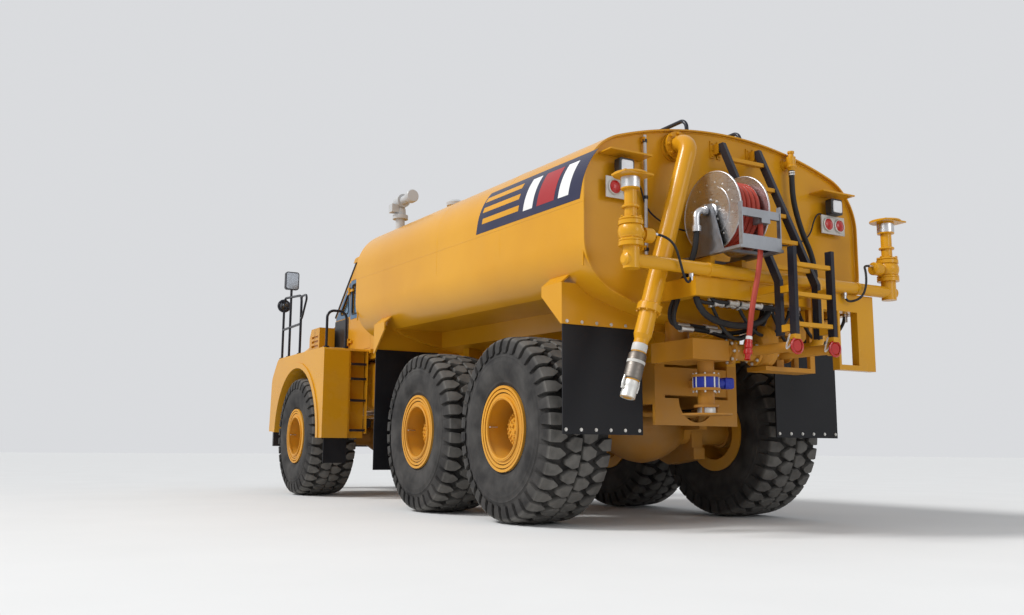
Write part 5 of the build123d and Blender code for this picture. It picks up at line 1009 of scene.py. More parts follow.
    def map_lug_top_share(self, mesh: bpy.types.Mesh) -> None:
        """Map the turn and the share of wear and painted highlight: it grows from 0 at the grooves' floor to 1 at the
        lugs' tops.

        Args:
            mesh: The tyre's mesh.
        """
        points = np.empty(len(mesh.vertices) * 3)
        mesh.vertices.foreach_get("co", points)
        corners = np.empty(len(mesh.loops), np.int32)
        mesh.loops.foreach_get("vertex_index", corners)
        across = points.reshape(-1, 3)[corners] - self.centre
        radius = np.hypot(across[:, 0], across[:, 2])
        turn = np.arctan2(across[:, 2], across[:, 0]) / FULL_TURN + 0.5
        floor = self.crown(across[:, 1]) - self.lug_depth
        # wear with painted highlight: the lugs' tops get the lighter colour, the grooves' floors stay dark
        wear = np.clip((radius - floor - 0.3 * self.lug_depth) / (0.6 * self.lug_depth), 0.0, 1.0)
        mesh.uv_layers.new(name="wear").data.foreach_set("uv", np.column_stack((turn, wear)).ravel())

    def ring(self, radius: float, width: float, low: float, high: float) -> Surface:
        """A ring of rectangular section with its outer edges rounded.

        Args:
            radius: The ring's middle radius.
            width: Its width along the radius.
            low: Where it starts along the axle, outwards.
            high: Where it ends.

        Returns:
            The closed ring.
        """
        half, soft = width / 2, min(width, high - low) * 0.28
        profile = [(low, radius - half), (high - soft, radius - half), (high, radius - half + soft),
                   (high, radius + half - soft), (high - soft, radius + half), (low, radius + half)]
        return revolved(profile, self.centre, (0, self.outward, 0), 72)

    def rim_trim(self) -> None:
        """Add near-black rings of painted shade in the gaps between the rim's lock rings, the hub's bolts and the
        valve's stem.
        """
        axis = (0.0, self.outward, 0.0)

        def at(axial: float) -> Array:
            """The point on the axle at a distance outwards."""
            return self.centre + np.array(axis) * axial

        # painted shade: two near-black rings stand in for the shadow in the gaps between the lock rings
        gap_shade_rings = [self.ring(radius, 0.0124, 0.318, 0.3285) for radius in (0.386, 0.348)]
        make_piece(f"{self.name}_rim_gap_shade_rings", merged(gap_shade_rings), self.body, "gap_dark")
        bolts = [bolt_heads(round_places(count, circle, at(place), axis, start), axis, radius, height)
                 for count, circle, place, start, radius, height in HUB_BOLTS]
        bolts += [self.ring(0.060, 0.008, 0.203, 0.209), self.ring(0.297, 0.010, 0.345, 0.354)]
        make_piece(f"{self.name}_hub_bolts", merged(bolts), self.body, "rim_yellow")
        stem = [at(place) + (reach, 0, 0.02) for place, reach in ((0.240, 0.272), (0.300, 0.268), (0.332, 0.262))]
        make_piece(f"{self.name}_valve_stem", tube(stem, 0.008, 10), self.body, "zinc")

    def build(self) -> None:
        """Build all of the wheel's pieces."""
        self.tyre()
        self.rim_trim()


@dataclass
class TankSkin:
    """The tank's outer surface, worked out from its section and slope.

    Args:
        half: Half the tank's width.
        top: Height of the crown at the rear end.
        crown: Rise of the crown over the tank's width.
        corner: Radius of the upper corners.
        rise: How much the tank gains over its length.
    """

    half: float = 1.727
    top: float = 3.730
    crown: float = 0.370
    corner: float = 0.560
    rise: float = 0.150

    def __post_init__(self) -> None:
        """Work out the corner arc's middle, its turn and the crown's radius."""
        low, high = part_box("tank")
        self.rear, self.front = low.x, high.x
        self.slope = self.rise / (self.front - self.rear)
        self.crown_radius = (self.half**2 + self.crown**2) / (2 * self.crown)
        self.arc_y = self.half - self.corner
        self.drop = self.crown_radius - math.sqrt((self.crown_radius - self.corner) ** 2 - self.arc_y**2)
        self.arc_turn = math.atan2(self.crown_radius - self.drop, self.arc_y)
        self.arc_length = self.arc_turn * self.corner
        self.crown_length = (math.pi / 2 - self.arc_turn) * self.crown_radius

    def at(self, x: Array, run: Array, side: float = 1.0, proud: float = 0.0) -> Array:
        """A point on the skin: down the straight side for a run below 0, then round the corner and the crown.

        Args:
            x: Place along the truck.
            run: Distance up the skin from the side's upper end.
            side: 1 for the left side, -1 for the right.
            proud: Distance out of the skin.

        Returns:
            Points with x, y and z last.
        """
        x, run = np.broadcast_arrays(np.asarray(x, float), np.asarray(run, float))
        top = self.top + self.slope * (x - self.rear)
        corner_turn = np.clip(run / self.corner, 0.0, self.arc_turn)
        crown_turn = self.arc_turn + np.maximum(run - self.arc_length, 0.0) / self.crown_radius
        on_crown = run > self.arc_length
        turn = np.where(on_crown, crown_turn, corner_turn)
        y = np.where(on_crown, self.crown_radius * np.cos(turn), self.arc_y + self.corner * np.cos(turn))
        z = np.where(on_crown, top - self.crown_radius + self.crown_radius * np.sin(turn),
                     top - self.drop + self.corner * np.sin(turn) + np.minimum(run, 0.0))
        return np.stack((x, side * (y + proud * np.cos(turn)), z + proud * np.sin(turn)), axis=-1)


@dataclass
class TankTrim:
    """Weld beads, the side panel and small crown fittings of the tank.

    Args:
        seam_run: Place of the long seam below the corner arc.
        bead: Radius of a weld bead.
        panel_low: The side panel's lower edge up the skin.
        panel_high: Its upper edge.
        slant: How far its ends lean back for each metre up the skin.
    """

    seam_run: float = -0.135
    bead: float = 0.0065
    panel_low: float = -0.105
    panel_high: float = 0.352
    slant: float = 0.30

    def __post_init__(self) -> None:
        """Work out the tank's skin."""
        self.skin = TankSkin()

    def girth(self, x: float, lowest: float, steps: int, proud: float, radius: float, facets: int) -> Surface:
        """A weld bead round the tank's section: up the left side, over the crown and down the right side.

        Args:
            x: Place along the truck.
            lowest: Where the bead ends below the corner arcs.
            steps: Points on each side.
            proud: Distance of its middle out of the skin.
            radius: The bead's radius.
            facets: Facets round the bead.

        Returns:
            The bead.
        """
        run = np.linspace(lowest, self.skin.arc_length + self.skin.crown_length, steps)
        left, right = (self.skin.at(x, run, side, proud) for side in SIDES)
        return tube(np.vstack((left, right[-2::-1])), radius, facets)

    def beads(self) -> None:
        """Lay ripples of weld along the side seams, round the shell and round the rear head."""
        skin = self.skin
        along = np.linspace(skin.rear + 0.02, skin.front - 0.02, 420)
        ripple = self.bead * (0.85 + 0.15 * np.sin(np.arange(420) * 2.1))
        seams = [tube(skin.at(along, self.seam_run, side, -0.003), ripple, 6) for side in SIDES]
        seams += [self.girth(x, -0.42, 120, -0.0035, self.bead * 0.8, 6) for x in (-2.14, -3.60)]
        make_piece("tank_weld_seams", merged(seams), ROOT, "body_yellow", 60.0)
        for name, x in (("rear", skin.rear + 0.040), ("front", skin.front - 0.040)):
            weld = self.girth(x, -0.70, 160, -0.018, 0.009, 8)
            make_piece(f"tank_{name}_head_weld", weld, ROOT, "body_yellow", 60.0)

    def patch(self, x_range: tuple[float, float], run_range: tuple[float, float], proud: float = 0.0032) -> Surface:
        """A thin plate that follows the skin, with its ends leaning along the truck.

        Args:
            x_range: Where the plate starts and ends along the truck at its lower edge.
            run_range: Its lower and upper edges up the skin.
            proud: How far its face stands out.

        Returns:
            The closed plate.
        """
        run = np.linspace(*run_range, 14)[:, None]
        x = np.linspace(*x_range, 24)[None, :] - self.slant * (run - run_range[0])
        return slab(self.skin.at(x, run, 1.0, proud), self.skin.at(x, run, 1.0, proud - 0.002))

    def side_panel(self) -> None:
        """Add the left side's plain coloured panel: a dark field, slanted bars, a block and stripes."""
        low, high = self.panel_low, self.panel_high
        inside = (low + 0.07, high - 0.07)
        stripes = [(low + rise, low + rise + 0.055) for rise in (0.09, 0.21, 0.33)]
        layers = {
            "field": ("panel_navy", [self.patch((-5.02, -3.09), (low, high), 0.0022)]),
            "bars": ("panel_white", [self.patch((x, x + 0.17), inside) for x in (-4.84, -4.22)]),
            "block": ("panel_red", [self.patch((-4.60, -4.30), inside)]),
            "stripes": ("body_yellow", [self.patch((-3.96, -3.22), run) for run in stripes]),
        }
        for name, (slot, plates) in layers.items():
            make_piece(f"side_panel_{name}", merged(plates), ROOT, slot, 60.0)

    def crown_fittings(self) -> None:
        """Add a capped vent and a lifting eye on the crown, each seated on the skin."""
        skin = self.skin
        vent = skin.at(-1.24, skin.arc_length + 0.30)
        profile = [(-0.03, 0.0), (-0.03, 0.050), (0.045, 0.050), (0.045, 0.105), (0.085, 0.110), (0.115, 0.070),
                   (0.120, 0.0)]
        make_piece("crown_vent", revolved(profile, vent, UP, 36), ROOT, "monitor_grey")
        eye = skin.at(-3.13, skin.arc_length + 0.32)
        turn = np.linspace(0.0, math.pi, 20)
        arch = eye + np.column_stack((0.055 * np.cos(turn), 0 * turn, -0.02 + 0.085 * np.sin(turn)))
        make_piece("crown_lifting_eye", tube(arch, 0.011, 10), ROOT, "body_yellow")

    def flap_bolts(self) -> None:
        """Bolt the mud flaps along their upper edges, where their brackets stand proud, and along their lower edges."""
        low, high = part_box("mud_flaps")
        bracket, count, bolts = 0.020, 6, []
        for side in SIDES:
            across = np.linspace(0.88, 1.68, count) * side
            for x, upper, lower, way in ((low.x, 1.835, 0.885, ASTERN), (high.x, 1.945, 0.49, AHEAD)):
                for face, height in ((x + bracket * way[0], upper), (x, lower)):
                    row = np.column_stack((np.full(count, face), across, np.full(count, height)))
                    bolts.append(bolt_heads(row, way, 0.012, 0.010))
        make_piece("mud_flap_bolts", merged(bolts), ROOT, "zinc")

    def build(self) -> None:
        """Build all of the tank's trim."""
        self.beads()
        self.side_panel()
        self.crown_fittings()
        self.flap_bolts()


@dataclass
class HoseReel:
    """The hose reel: turns of wound hose, disc trim, and the hose's hanging end as a cord.

    Args:
        hose: Radius of the hose.
        wound: Radius of the outer turns' middle.
        axle_x: Place of the reel's shaft along the truck.
        axle_z: Its height.
    """

    hose: float = 0.024
    wound: float = 0.276
    axle_x: float = -5.470
    axle_z: float = 2.800

    def turns(self) -> None:
        """Wind the hose: a helix of touching turns over an inner layer that fills the drum."""
        low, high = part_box("wound_hose")
        start, end = low.y + self.hose, high.y - self.hose
        count = int((end - start) / (2 * self.hose))
        layers = []
        for layer, radius in enumerate((self.wound, self.wound - 1.75 * self.hose)):
            turn = np.linspace(0.0, count * FULL_TURN, count * 44)
            share = turn / turn[-1]
            across = start + (end - start) * (share if layer == 0 else 1.0 - share)
            sway = 0.003 * np.sin(3.0 * turn + layer)
            path = np.column_stack((self.axle_x + (radius + sway) * np.cos(turn), across,
                                    self.axle_z + (radius + sway) * np.sin(turn)))
            layers.append(tube(path, self.hose, 10))
        core = collar(low.y, high.y, 0.145, 0.232, (self.axle_x, 0, self.axle_z), ACROSS, 48)
        piece = make_piece("wound_hose_turns", merged((*layers, core)), "hose_reel", "hose_red", 50.0)
        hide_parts("wound_hose")

    def discs(self) -> None:
        """Trim the polished discs with rolled edges and bolts."""
        faces = {1.0: 0.625, -1.0: 0.285}
        rings, bolts = [], []
        turn = np.linspace(0.0, FULL_TURN, 10, endpoint=False)
        rolled = np.column_stack((-0.004 + 0.007 * np.cos(turn), 0.3625 + 0.007 * np.sin(turn)))
        for way, y in faces.items():
            centre, axis = np.array([self.axle_x, y, self.axle_z]), (0, way, 0)
            rings.append(revolved(rolled, centre, axis, 64))
            for places, radius, height in ((round_places(8, 0.110, centre + (0, 0.006 * way, 0), axis), 0.009, 0.010),
                                           (round_places(16, 0.265, centre, axis, 0.2), 0.006, 0.005)):
                bolts.append(bolt_heads(places, axis, radius, height))
        make_piece("reel_disc_rings", merged(rings), "hose_reel", "steel")
        make_piece("reel_disc_bolts", merged(bolts), "hose_reel", "zinc")

    def swivel(self) -> None:
        """Add the water swivel on the reel's left end: an elbow, its collar and a feed hose to the deck."""
        shaft = np.array([self.axle_x, 0.700, self.axle_z])
        turn = np.linspace(0.0, math.pi / 2, 10)
        bend = np.column_stack((0 * turn, 0.030 + 0.075 * np.sin(turn), -0.075 + 0.075 * np.cos(turn)))
        path = np.vstack(([0, 0.0, 0.0], bend, [0, 0.105, -0.150])) + shaft
        end = path[-1]
        collars = [collar(0.0, 0.035, 0.0, 0.045, shaft, ACROSS, 24), collar(0.0, -0.05, 0.0, 0.044, end, UP, 24)]
        make_piece("reel_swivel_elbow", merged((tube(path, 0.032, 16), *collars)), ROOT, "steel")
        bends = [(0, 0, 0), (0, 0, -0.16), (0.06, 0.03, -0.34), (0.16, 0.0, -0.43), (0.28, -0.06, -0.44)]
        make_hose("reel_feed_hose", end + np.array(bends), 0.026, ROOT)

    def tail(self) -> None:
        """Hang the hose's free end from the guide, with its nozzle."""
        route = [(-5.832, 0.400, 2.640), (-5.832, 0.400, 2.450), (-5.824, 0.432, 2.220), (-5.818, 0.490, 2.000),
                 (-5.823, 0.545, 1.790), (-5.831, 0.580, 1.600)]
        piece = make_hose("hose_free_end", route, self.hose, ROOT, "hose_red")
        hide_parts("hose_tail")
        way = np.array(route[-1]) - np.array(route[-2])
        profile = [(-0.030, 0.0), (-0.030, 0.029), (0.000, 0.030), (0.004, 0.034), (0.042, 0.034), (0.047, 0.027),
                   (0.056, 0.027), (0.060, 0.038), (0.090, 0.038), (0.096, 0.026), (0.130, 0.020), (0.135, 0.027),
                   (0.142, 0.027), (0.142, 0.012), (0.100, 0.010), (0.100, 0.0)]
        nozzle = make_piece("hose_end_nozzle", revolved(profile, route[-1], way, 32), ROOT, "lens_red")
        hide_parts("hose_nozzle")
        profile = [(-0.060, 0.0235), (-0.058, 0.0275), (-0.022, 0.0275), (-0.020, 0.0235)]
        band = make_piece("hose_end_band", revolved(profile, route[-1], way, 28), ROOT, "panel_white")
        route[0]

    def build(self) -> None:
        """Build all of the reel's pieces."""
        self.turns()
        self.discs()
        self.swivel()
        self.tail()


@dataclass
class RearFittings:
    """Flanges, valves, lamps, cables and hoses on the tank's rear head, its deck and its pump.

    Args:
        head: Place of the recessed head along the truck.
        manifold: Place of the spray manifold along the truck.
        manifold_z: The manifold's height.
        riser: Distance of the risers from the middle.
        rails: Places of the ladder's rails, and of the pump's outlets under them, across the truck.
        outlet_z: Height of the outlets.
        pump_x: Place of the pump's shaft along the truck.
        dump: Place of the dump pipe along and across the truck.
        fill_top: End of the fill pipe's elbow.
        fill_end: Lower end of the fill pipe.
        vent: Place of the breather's fitting across the truck and up the head.
        deck_plate: Height inside the deck's plate, where the hoses under it end.
    """

    head: float = -5.040
    manifold: float = -5.550
    manifold_z: float = 2.2573
    riser: float = 1.580
    rails: tuple[float, float] = (0.175, -0.285)
    outlet_z: float = 1.590
    pump_x: float = -5.300
    dump: tuple[float, float] = (-5.200, 0.500)
    fill_top: tuple[float, float, float] = (-5.300, 0.700, 3.500)
    fill_end: tuple[float, float, float] = (-5.300, 1.450, 1.140)
    vent: tuple[float, float] = (-0.750, 3.560)
    deck_plate: float = 2.185

    def fill_pipe(self) -> None:
        """Add the fill elbow's flange with bolts and studs, and a sight tube with its collars."""
        seat = np.array([self.head - 0.030, *self.fill_top[1:]])
        make_piece("fill_flange", collar(0.034, 0.058, 0.084, 0.134, seat, ASTERN, 40), ROOT, "body_yellow")
        places = round_places(8, 0.112, seat + (-0.058, 0, 0), ASTERN)
        make_piece("fill_flange_bolts", bolt_heads(places, ASTERN, 0.016, 0.020), ROOT, "body_yellow")
        studs = merged(tube([place + (0.060, 0, 0), place], 0.009, 8) for place in places)
        make_piece("fill_flange_studs", studs, ROOT, "body_yellow")
        gauge_x, gauge_y = self.head - 0.040, 1.050
        gauge = tube([(gauge_x, gauge_y, 2.44), (gauge_x, gauge_y, 3.55)], 0.0155, 14)
        make_piece("sight_tube", gauge, ROOT, "monitor_grey")
        collars = [collar(0.0, 0.03, 0.014, 0.022, (gauge_x, gauge_y, z), UP, 18) for z in (2.47, 2.95, 3.48)]
        make_piece("sight_tube_collars", merged(collars), ROOT, "rail_black")

    def spray_heads(self) -> None:
        """Add each riser's flanges, bolts, bonnet, steel nipple, thick-edged deflector and control hose."""
        yellow, steel = [], []
        for side, hand in HANDS.items():
            foot = np.array([self.manifold, side * self.riser, 0.0])

            def step(low: float, high: float, inner: float, outer: float) -> Surface:
                """A collar round the riser with softened edges.

                Args:
                    low: Height of its lower face.
                    high: Height of its upper face.
                    inner: Its inner radius.
                    outer: Its outer radius.

                Returns:
                    The closed collar.
                """
                soft = min(0.006, (high - low) * 0.25)
                return revolved([(low, inner), (low, outer - soft), (low + soft, outer), (high - soft, outer),
                                 (high, outer - soft), (high, inner)], foot, UP, 36)

            yellow += [step(2.405, 2.424, 0.060, 0.104), step(2.584, 2.606, 0.040, 0.098),
                       step(2.606, 2.852, 0.036, 0.052), step(2.690, 2.712, 0.036, 0.074),
                       step(2.968, 2.984, 0.0, 0.150)]
            for z in (2.424, 2.606):
                yellow.append(bolt_heads(round_places(6, 0.086, foot + (0, 0, z), UP), UP, 0.011, 0.014))
            ball = np.linspace(-0.075, 0.075, 13)
            bonnet = np.column_stack((2.490 + ball, np.sqrt(np.maximum(0.108**2 - ball**2, 0.0))))
            yellow.append(revolved(np.vstack(([2.415, 0.02], bonnet, [2.565, 0.02])), foot, UP, 40))
            inward = (1.0, -side, 1.0)
            stem = foot + np.array([0, 0.220, 2.500]) * inward
            end = foot + np.array([0, 0.265, 2.500]) * inward
            tapping = end + np.array([0, 0.37, -0.355]) * inward
            steel += [step(2.856, 2.954, 0.060, 0.0815), collar(0.0, 0.055, 0.0, 0.014, stem, (0, -side, 0), 14),
                      revolved([(0.0, 0.0), (0.0, 0.016), (0.028, 0.016), (0.030, 0.022), (0.058, 0.022), (0.058, 0.0)],
                               tapping, UP, 14)]
            bends = [(0, 0, 0), (0, 0.08, 0), (-0.07, 0.14, -0.08), (-0.095, 0.17, -0.22), (-0.08, 0.22, -0.34),
                     (-0.02, 0.31, -0.385), (0, 0.365, -0.36), (0, 0.37, -0.30)]
            make_hose(f"spray_hose_{hand}", end + np.array(bends) * inward, 0.011, ROOT)
        make_piece("spray_head_collars", merged(yellow), ROOT, "body_yellow")
        make_piece("spray_head_nipples", merged(steel), ROOT, "steel")
        cap = [(0.0, 0.0), (0.0, 0.062), (0.012, 0.062), (0.020, 0.050), (0.020, 0.030), (0.012, 0.026), (0.012, 0.0)]
        caps = [revolved(cap, (self.manifold, side * self.riser, self.manifold_z), (0, side, 0), 32) for side in SIDES]
        make_piece("manifold_end_caps", merged(caps), ROOT, "body_yellow")

    def lamps(self) -> None:
        """Build tail lenses, work lamps and outlet caps in place of the plain lamps, with bezels, visors and cables."""
        plate = self.head - 0.070
        lenses, bezels, housings, glasses, visors = [], [], [], [], []
        dome = np.linspace(0.0, 0.060, 9)
        crown = np.column_stack((0.014 + 0.018 * (1 - (dome / 0.060) ** 2), dome))
        lens = np.vstack((crown, [[0.0, 0.060], [0.0, 0.0]]))
        bezel = [(0.0, 0.059), (0.018, 0.059), (0.022, 0.064), (0.018, 0.070), (0.0, 0.071)]
        for side, hand in HANDS.items():
            for offset in (-0.080, 0.080):
                centre = (plate, side * 1.340 + offset, 3.000)
                lenses.append(revolved(lens, centre, ASTERN, 32))
                bezels.append(revolved(bezel, centre, ASTERN, 36))
            middle = side * 1.330
            for reach, corner, back, depth, parts in ((0.082, 0.024, 0.010, 0.080, housings),
                                                      (0.062, 0.020, -0.068, 0.014, glasses)):
                square = rounded_box((-reach, -reach), (reach, reach), corner)[:-1]
                parts.append(prism(square, depth, 0.004).placed((plate + back, middle, 3.180), ACROSS, UP, ASTERN))
            inner, outer = sorted((side * 1.083, side * 1.542))
            visors.append(block((self.head - 0.192, inner, 3.303), (self.head - 0.002, outer, 3.319), 0.003))
            start = np.array([self.head - 0.02, middle - side * 0.03, 3.07])
            bends = [(0, 0, 0), (-0.03, 0.12, 0.06), (-0.02, 0.20, -0.02), (-0.01, 0.26, -0.22), (-0.012, 0.50, -0.34),
                     (-0.012, 0.80, -0.36), (0.030, 0.83, -0.365)]
            make_hose(f"lamp_cable_{hand}", start + np.array(bends) * (1.0, -side, 1.0), 0.008, ROOT)
        cap = [(0.0, 0.0), (0.0, 0.046), (-0.008, 0.055), (-0.030, 0.055), (-0.030, 0.0)]
        turn = np.linspace(0.0, FULL_TURN, 25)
        for y in self.rails:
            lenses.append(revolved(cap, (-5.990, y, self.outlet_z), ASTERN, 32))
            rim = (np.full(len(turn), -5.984), y + 0.066 * np.cos(turn), self.outlet_z + 0.066 * np.sin(turn))
            lenses.append(tube(np.column_stack(rim), 0.009, 8))
        piece = make_piece("tail_lenses", merged(lenses), ROOT, "lens_red", 30.0)
        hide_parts("rear_lamps")
        make_piece("tail_lens_bezels", merged(bezels), ROOT, "zinc")
        make_piece("work_lamp_housings", merged(housings), ROOT, "dark_plastic")
        make_piece("work_lamp_glass", merged(glasses), ROOT, "lamp_bright")
        make_piece("lamp_visors", merged(visors), ROOT, "body_yellow")

    def dump_valve(self) -> None:
        """Add the dump valve's blue body with its gear, its studs, and the pipe's bright nipple."""
        foot = np.array([*self.dump, 0.0])
        gear = foot + (-0.02, -0.11, 1.31)
        body = [collar(1.262, 1.358, 0.040, 0.113, foot, UP, 40), collar(0.0, 0.10, 0.0, 0.045, gear, (0, -1, 0), 24),
                block(gear + (-0.05, -0.16, -0.05), gear + (0.05, -0.06, 0.05), 0.012)]
        make_piece("dump_valve_body", merged(body), ROOT, "valve_blue")
        studs = [tube([place + (0, 0, -0.09), place + (0, 0, 0.085)], 0.009, 8)
                 for place in round_places(8, 0.110, foot + (0, 0, 1.31), UP)]
        make_piece("dump_valve_studs", merged(studs), ROOT, "zinc")
        make_piece("dump_pipe_nipple", collar(1.041, 1.087, 0.04, 0.080, foot, UP, 32), ROOT, "zinc")

    def deck_hoses(self) -> None:
        """Hang hoses with crimped fittings under the deck, each from plate to plate or from beam to plate."""
        crimps = []
        crimp = [(0.0, 0.0), (0.0, 0.026), (0.022, 0.026), (0.022, 0.0205), (0.075, 0.0205), (0.078, 0.0)]
        for number, (start_y, sag) in enumerate(((0.62, 0.20), (0.30, 0.15), (-0.10, 0.24), (-0.45, 0.17))):
            start = np.array([-5.42, start_y, 2.02])
            rise = self.deck_plate - start[2]
            bends = [(0, 0, rise), (0, 0, 0), (-0.02, -0.02, -0.10), (-0.01, -0.16, -0.10 - sag),
                     (0.05, -0.42, -0.14 - sag), (0.06, -0.66, -0.12), (0.05, -0.70, 0.0), (0.05, -0.70, rise)]
            make_hose(f"deck_hose_{number}", start + np.array(bends), 0.016, ROOT)
            for shift in ((0, 0, 0.010), (0.05, -0.70, 0.010)):
                crimps.append(revolved(crimp, start + shift, (0, 0, -1), 12))
        crimp = [(0.0, 0.015), (0.0, 0.031), (0.03, 0.031), (0.03, 0.026), (0.14, 0.026), (0.145, 0.015)]
        for number, (x, z, droop) in enumerate(((-5.215, 1.80, 0.05), (-5.265, 1.765, 0.07))):
            route = [(x + 0.02, 0.835, 2.036), (x + 0.015, 0.900, z + 0.15), (x, 0.905, z + 0.03), (x, 0.840, z),
                     (x, 0.56, z + 0.01), (x - 0.02, 0.22, z - droop), (x - 0.05, -0.06, z + 0.04),
                     (x - 0.02, -0.20, z + 0.19), (x - 0.02, -0.20, self.deck_plate)]
            make_hose(f"suction_hose_{number}", route, 0.021, ROOT)
            crimps += [revolved(crimp, (x, y, z + 0.003), (0, -1, 0), 14) for y in (0.84, 0.52)]
        loop = [(-5.44, 0.80, 2.03), (-5.45, 0.78, 1.93), (-5.45, 0.62, 1.83), (-5.44, 0.30, 1.80), (-5.42, 0.02, 1.86),
                (-5.41, -0.10, 1.98), (-5.41, -0.12, 2.04), (-5.41, -0.12, self.deck_plate)]
        make_hose("deck_loop_hose", loop, 0.030, ROOT)
        make_piece("deck_hose_fittings", merged(crimps), ROOT, "zinc")

    def deck_edge(self) -> None:
        """Run two hoses with bright swivel fittings along the underside of the deck's rear edge."""
        fittings = []
        swivel = [(0.0, 0.012), (0.0, 0.027), (0.028, 0.027), (0.030, 0.022), (0.085, 0.022), (0.088, 0.030),
                  (0.108, 0.030), (0.110, 0.012)]
        for number, (x, z, left, right) in enumerate(((-5.495, 1.996, 0.60, -0.16), (-5.455, 1.985, 0.74, -0.22))):
            route = [(x + 0.05, left + 0.07, self.deck_plate), (x + 0.04, left + 0.06, 2.032), (x + 0.01, left, z),
                     (x, left - 0.16, z), (x, left - 0.40, z - 0.006), (x, right + 0.12, z),
                     (x + 0.01, right, z - 0.01), (x + 0.05, right - 0.05, 2.032),
                     (x + 0.06, right - 0.05, self.deck_plate)]
            make_hose(f"deck_edge_hose_{number}", route, 0.017, ROOT)
            fittings += [revolved(swivel, (x, left - shift, z - 0.001), (0, -1, 0), 14) for shift in (0.12, 0.26, 0.40)]
        make_piece("deck_edge_fittings", merged(fittings), ROOT, "zinc")

    def ladder(self) -> None:
        """Bolt the ladder's flanges to the head, and hang the outlet caps' chains from its feet."""
        bolts, links = [], []
        swing = np.linspace(0.0, 1.0, 15)
        turn = np.linspace(0.0, FULL_TURN, 11)[:, None]
        for y in self.rails:
            places = np.array([(self.head - 0.014, y + dy, z) for dy in (-0.043, 0.043) for z in (3.500, 3.560, 3.620)])
            bolts.append(bolt_heads(places, ASTERN, 0.010, 0.012))
            hang = np.column_stack((-5.972 + 0.012 * swing, y + 0.058 + 0.050 * np.sin(math.pi * swing),
                                    1.600 + 0.085 * swing - 0.075 * np.sin(math.pi * swing)))
            for number, (start, end) in enumerate(zip(hang[:-1], hang[1:])):
                way = end - start
                across = frame_of(way)[number % 2]
                ring = (start + end) / 2 + np.cos(turn) * way * 0.85 + np.sin(turn) * across * 0.0065
                links.append(tube(ring, 0.0022, 6))
        make_piece("ladder_head_bolts", merged(bolts), ROOT, "body_yellow")
        make_piece("outlet_cap_chains", merged(links), ROOT, "zinc")

    def fill_coupling(self) -> None:
        """Dress the fill pipe's lower end: bolted collar, weathered sleeve, pale bands and cam-lock coupling."""
        end, top = np.array(self.fill_end), np.array(self.fill_top)
        way = (top - end) / np.linalg.norm(top - end)
        across = frame_of(way)[0]

        def sleeve(rows: Point, inner: float) -> Surface:
            """A sleeve on the pipe from (along, radius) rows, closed inside at a radius."""
            return revolved([(rows[0][0], inner), *rows, (rows[-1][0], inner)], end, way, 40)

        bolts = [bolt_heads(round_places(8, 0.097, end + way * along, way), out, 0.010, 0.014)
                 for along, out in ((0.836, way), (0.776, -way))]
        make_piece("fill_collar_bolts", merged(bolts), ROOT, "body_yellow")
        pipe = sleeve([(0.160, 0.067), (0.170, 0.0765), (0.380, 0.0765), (0.398, 0.066)], 0.05)
        make_piece("fill_end_sleeve", pipe, ROOT, "pipe_dark")
        bands = [sleeve([(0.410, 0.0640), (0.418, 0.0665), (0.470, 0.0665), (0.478, 0.0640)], 0.05),
                 sleeve([(0.300, 0.0785), (0.325, 0.0785)], 0.06)]
        make_piece("fill_end_band", merged(bands), ROOT, "lamp_plate")
        coupling = [sleeve([(-0.001, 0.058), (0.006, 0.0650), (0.040, 0.0650), (0.048, 0.0630), (0.095, 0.0630),
                            (0.102, 0.0655), (0.140, 0.0655), (0.148, 0.0630)], 0.040)]
        for out in (across, -across):
            pivot = end + way * 0.075 + out * 0.060
            lever = [pivot + out * 0.018, pivot + out * 0.024 + way * 0.035, pivot + out * 0.016 + way * 0.100]
            coupling += [tube([pivot, pivot + out * 0.022], 0.014, 12), tube(lever, 0.009, 10)]
        make_piece("fill_end_coupling", merged(coupling), ROOT, "zinc")

    def pump_bolts(self) -> None:
        """Bolt the pump's flanges and volute, and strap the manifold to its saddles."""
        rows = [(0.300, 1.590, -1.0, 8, 0.098), (0.330, 1.590, 1.0, 8, 0.098), (0.030, 1.590, 1.0, 8, 0.095),
                (-0.145, 1.650, -1.0, 12, 0.155), (-0.4173, 1.650, -1.0, 8, 0.092), (-0.370, 1.650, 1.0, 8, 0.116)]
        heads = [bolt_heads(round_places(count, reach, (self.pump_x, y, z), ACROSS), (0, way, 0), 0.012, 0.016)
                 for y, z, way, count, reach in rows]
        make_piece("pump_flange_bolts", merged(heads), ROOT, "zinc")
        straps = [collar(-0.016, 0.016, 0.056, 0.0625, (self.manifold, y, self.manifold_z), ACROSS, 36)
                  for y in (-1.10, -0.75, 0.75)]
        make_piece("manifold_straps", merged(straps), ROOT, "body_yellow")

    def loom(self) -> None:
        """Run the wiring loom from the head down the right rail into its foot, with ties."""
        y = self.rails[1] - 0.031
        top, knee, foot = (np.array(place) for place in ((-5.175, y, 3.500), (-5.806, y, 2.170), (-5.800, y, 1.760)))
        slope = [top + (knee - top) * share + (0, sway, 0)
                 for share, sway in ((0.2, 0.004), (0.4, -0.004), (0.6, 0.004), (0.8, -0.004))]
        route = [top + (0.145, 0.0, 0.02), top, *slope, knee, foot, foot + (-0.004, 0.030, -0.07)]
        make_hose("ladder_loom", route, 0.012, ROOT)
        ties = [collar(-0.006, 0.006, 0.010, 0.0145, top + (knee - top) * share, knee - top, 16)
                for share in (0.1, 0.3, 0.5, 0.7, 0.9)]
        make_piece("ladder_loom_ties", merged(ties), ROOT, "panel_white")

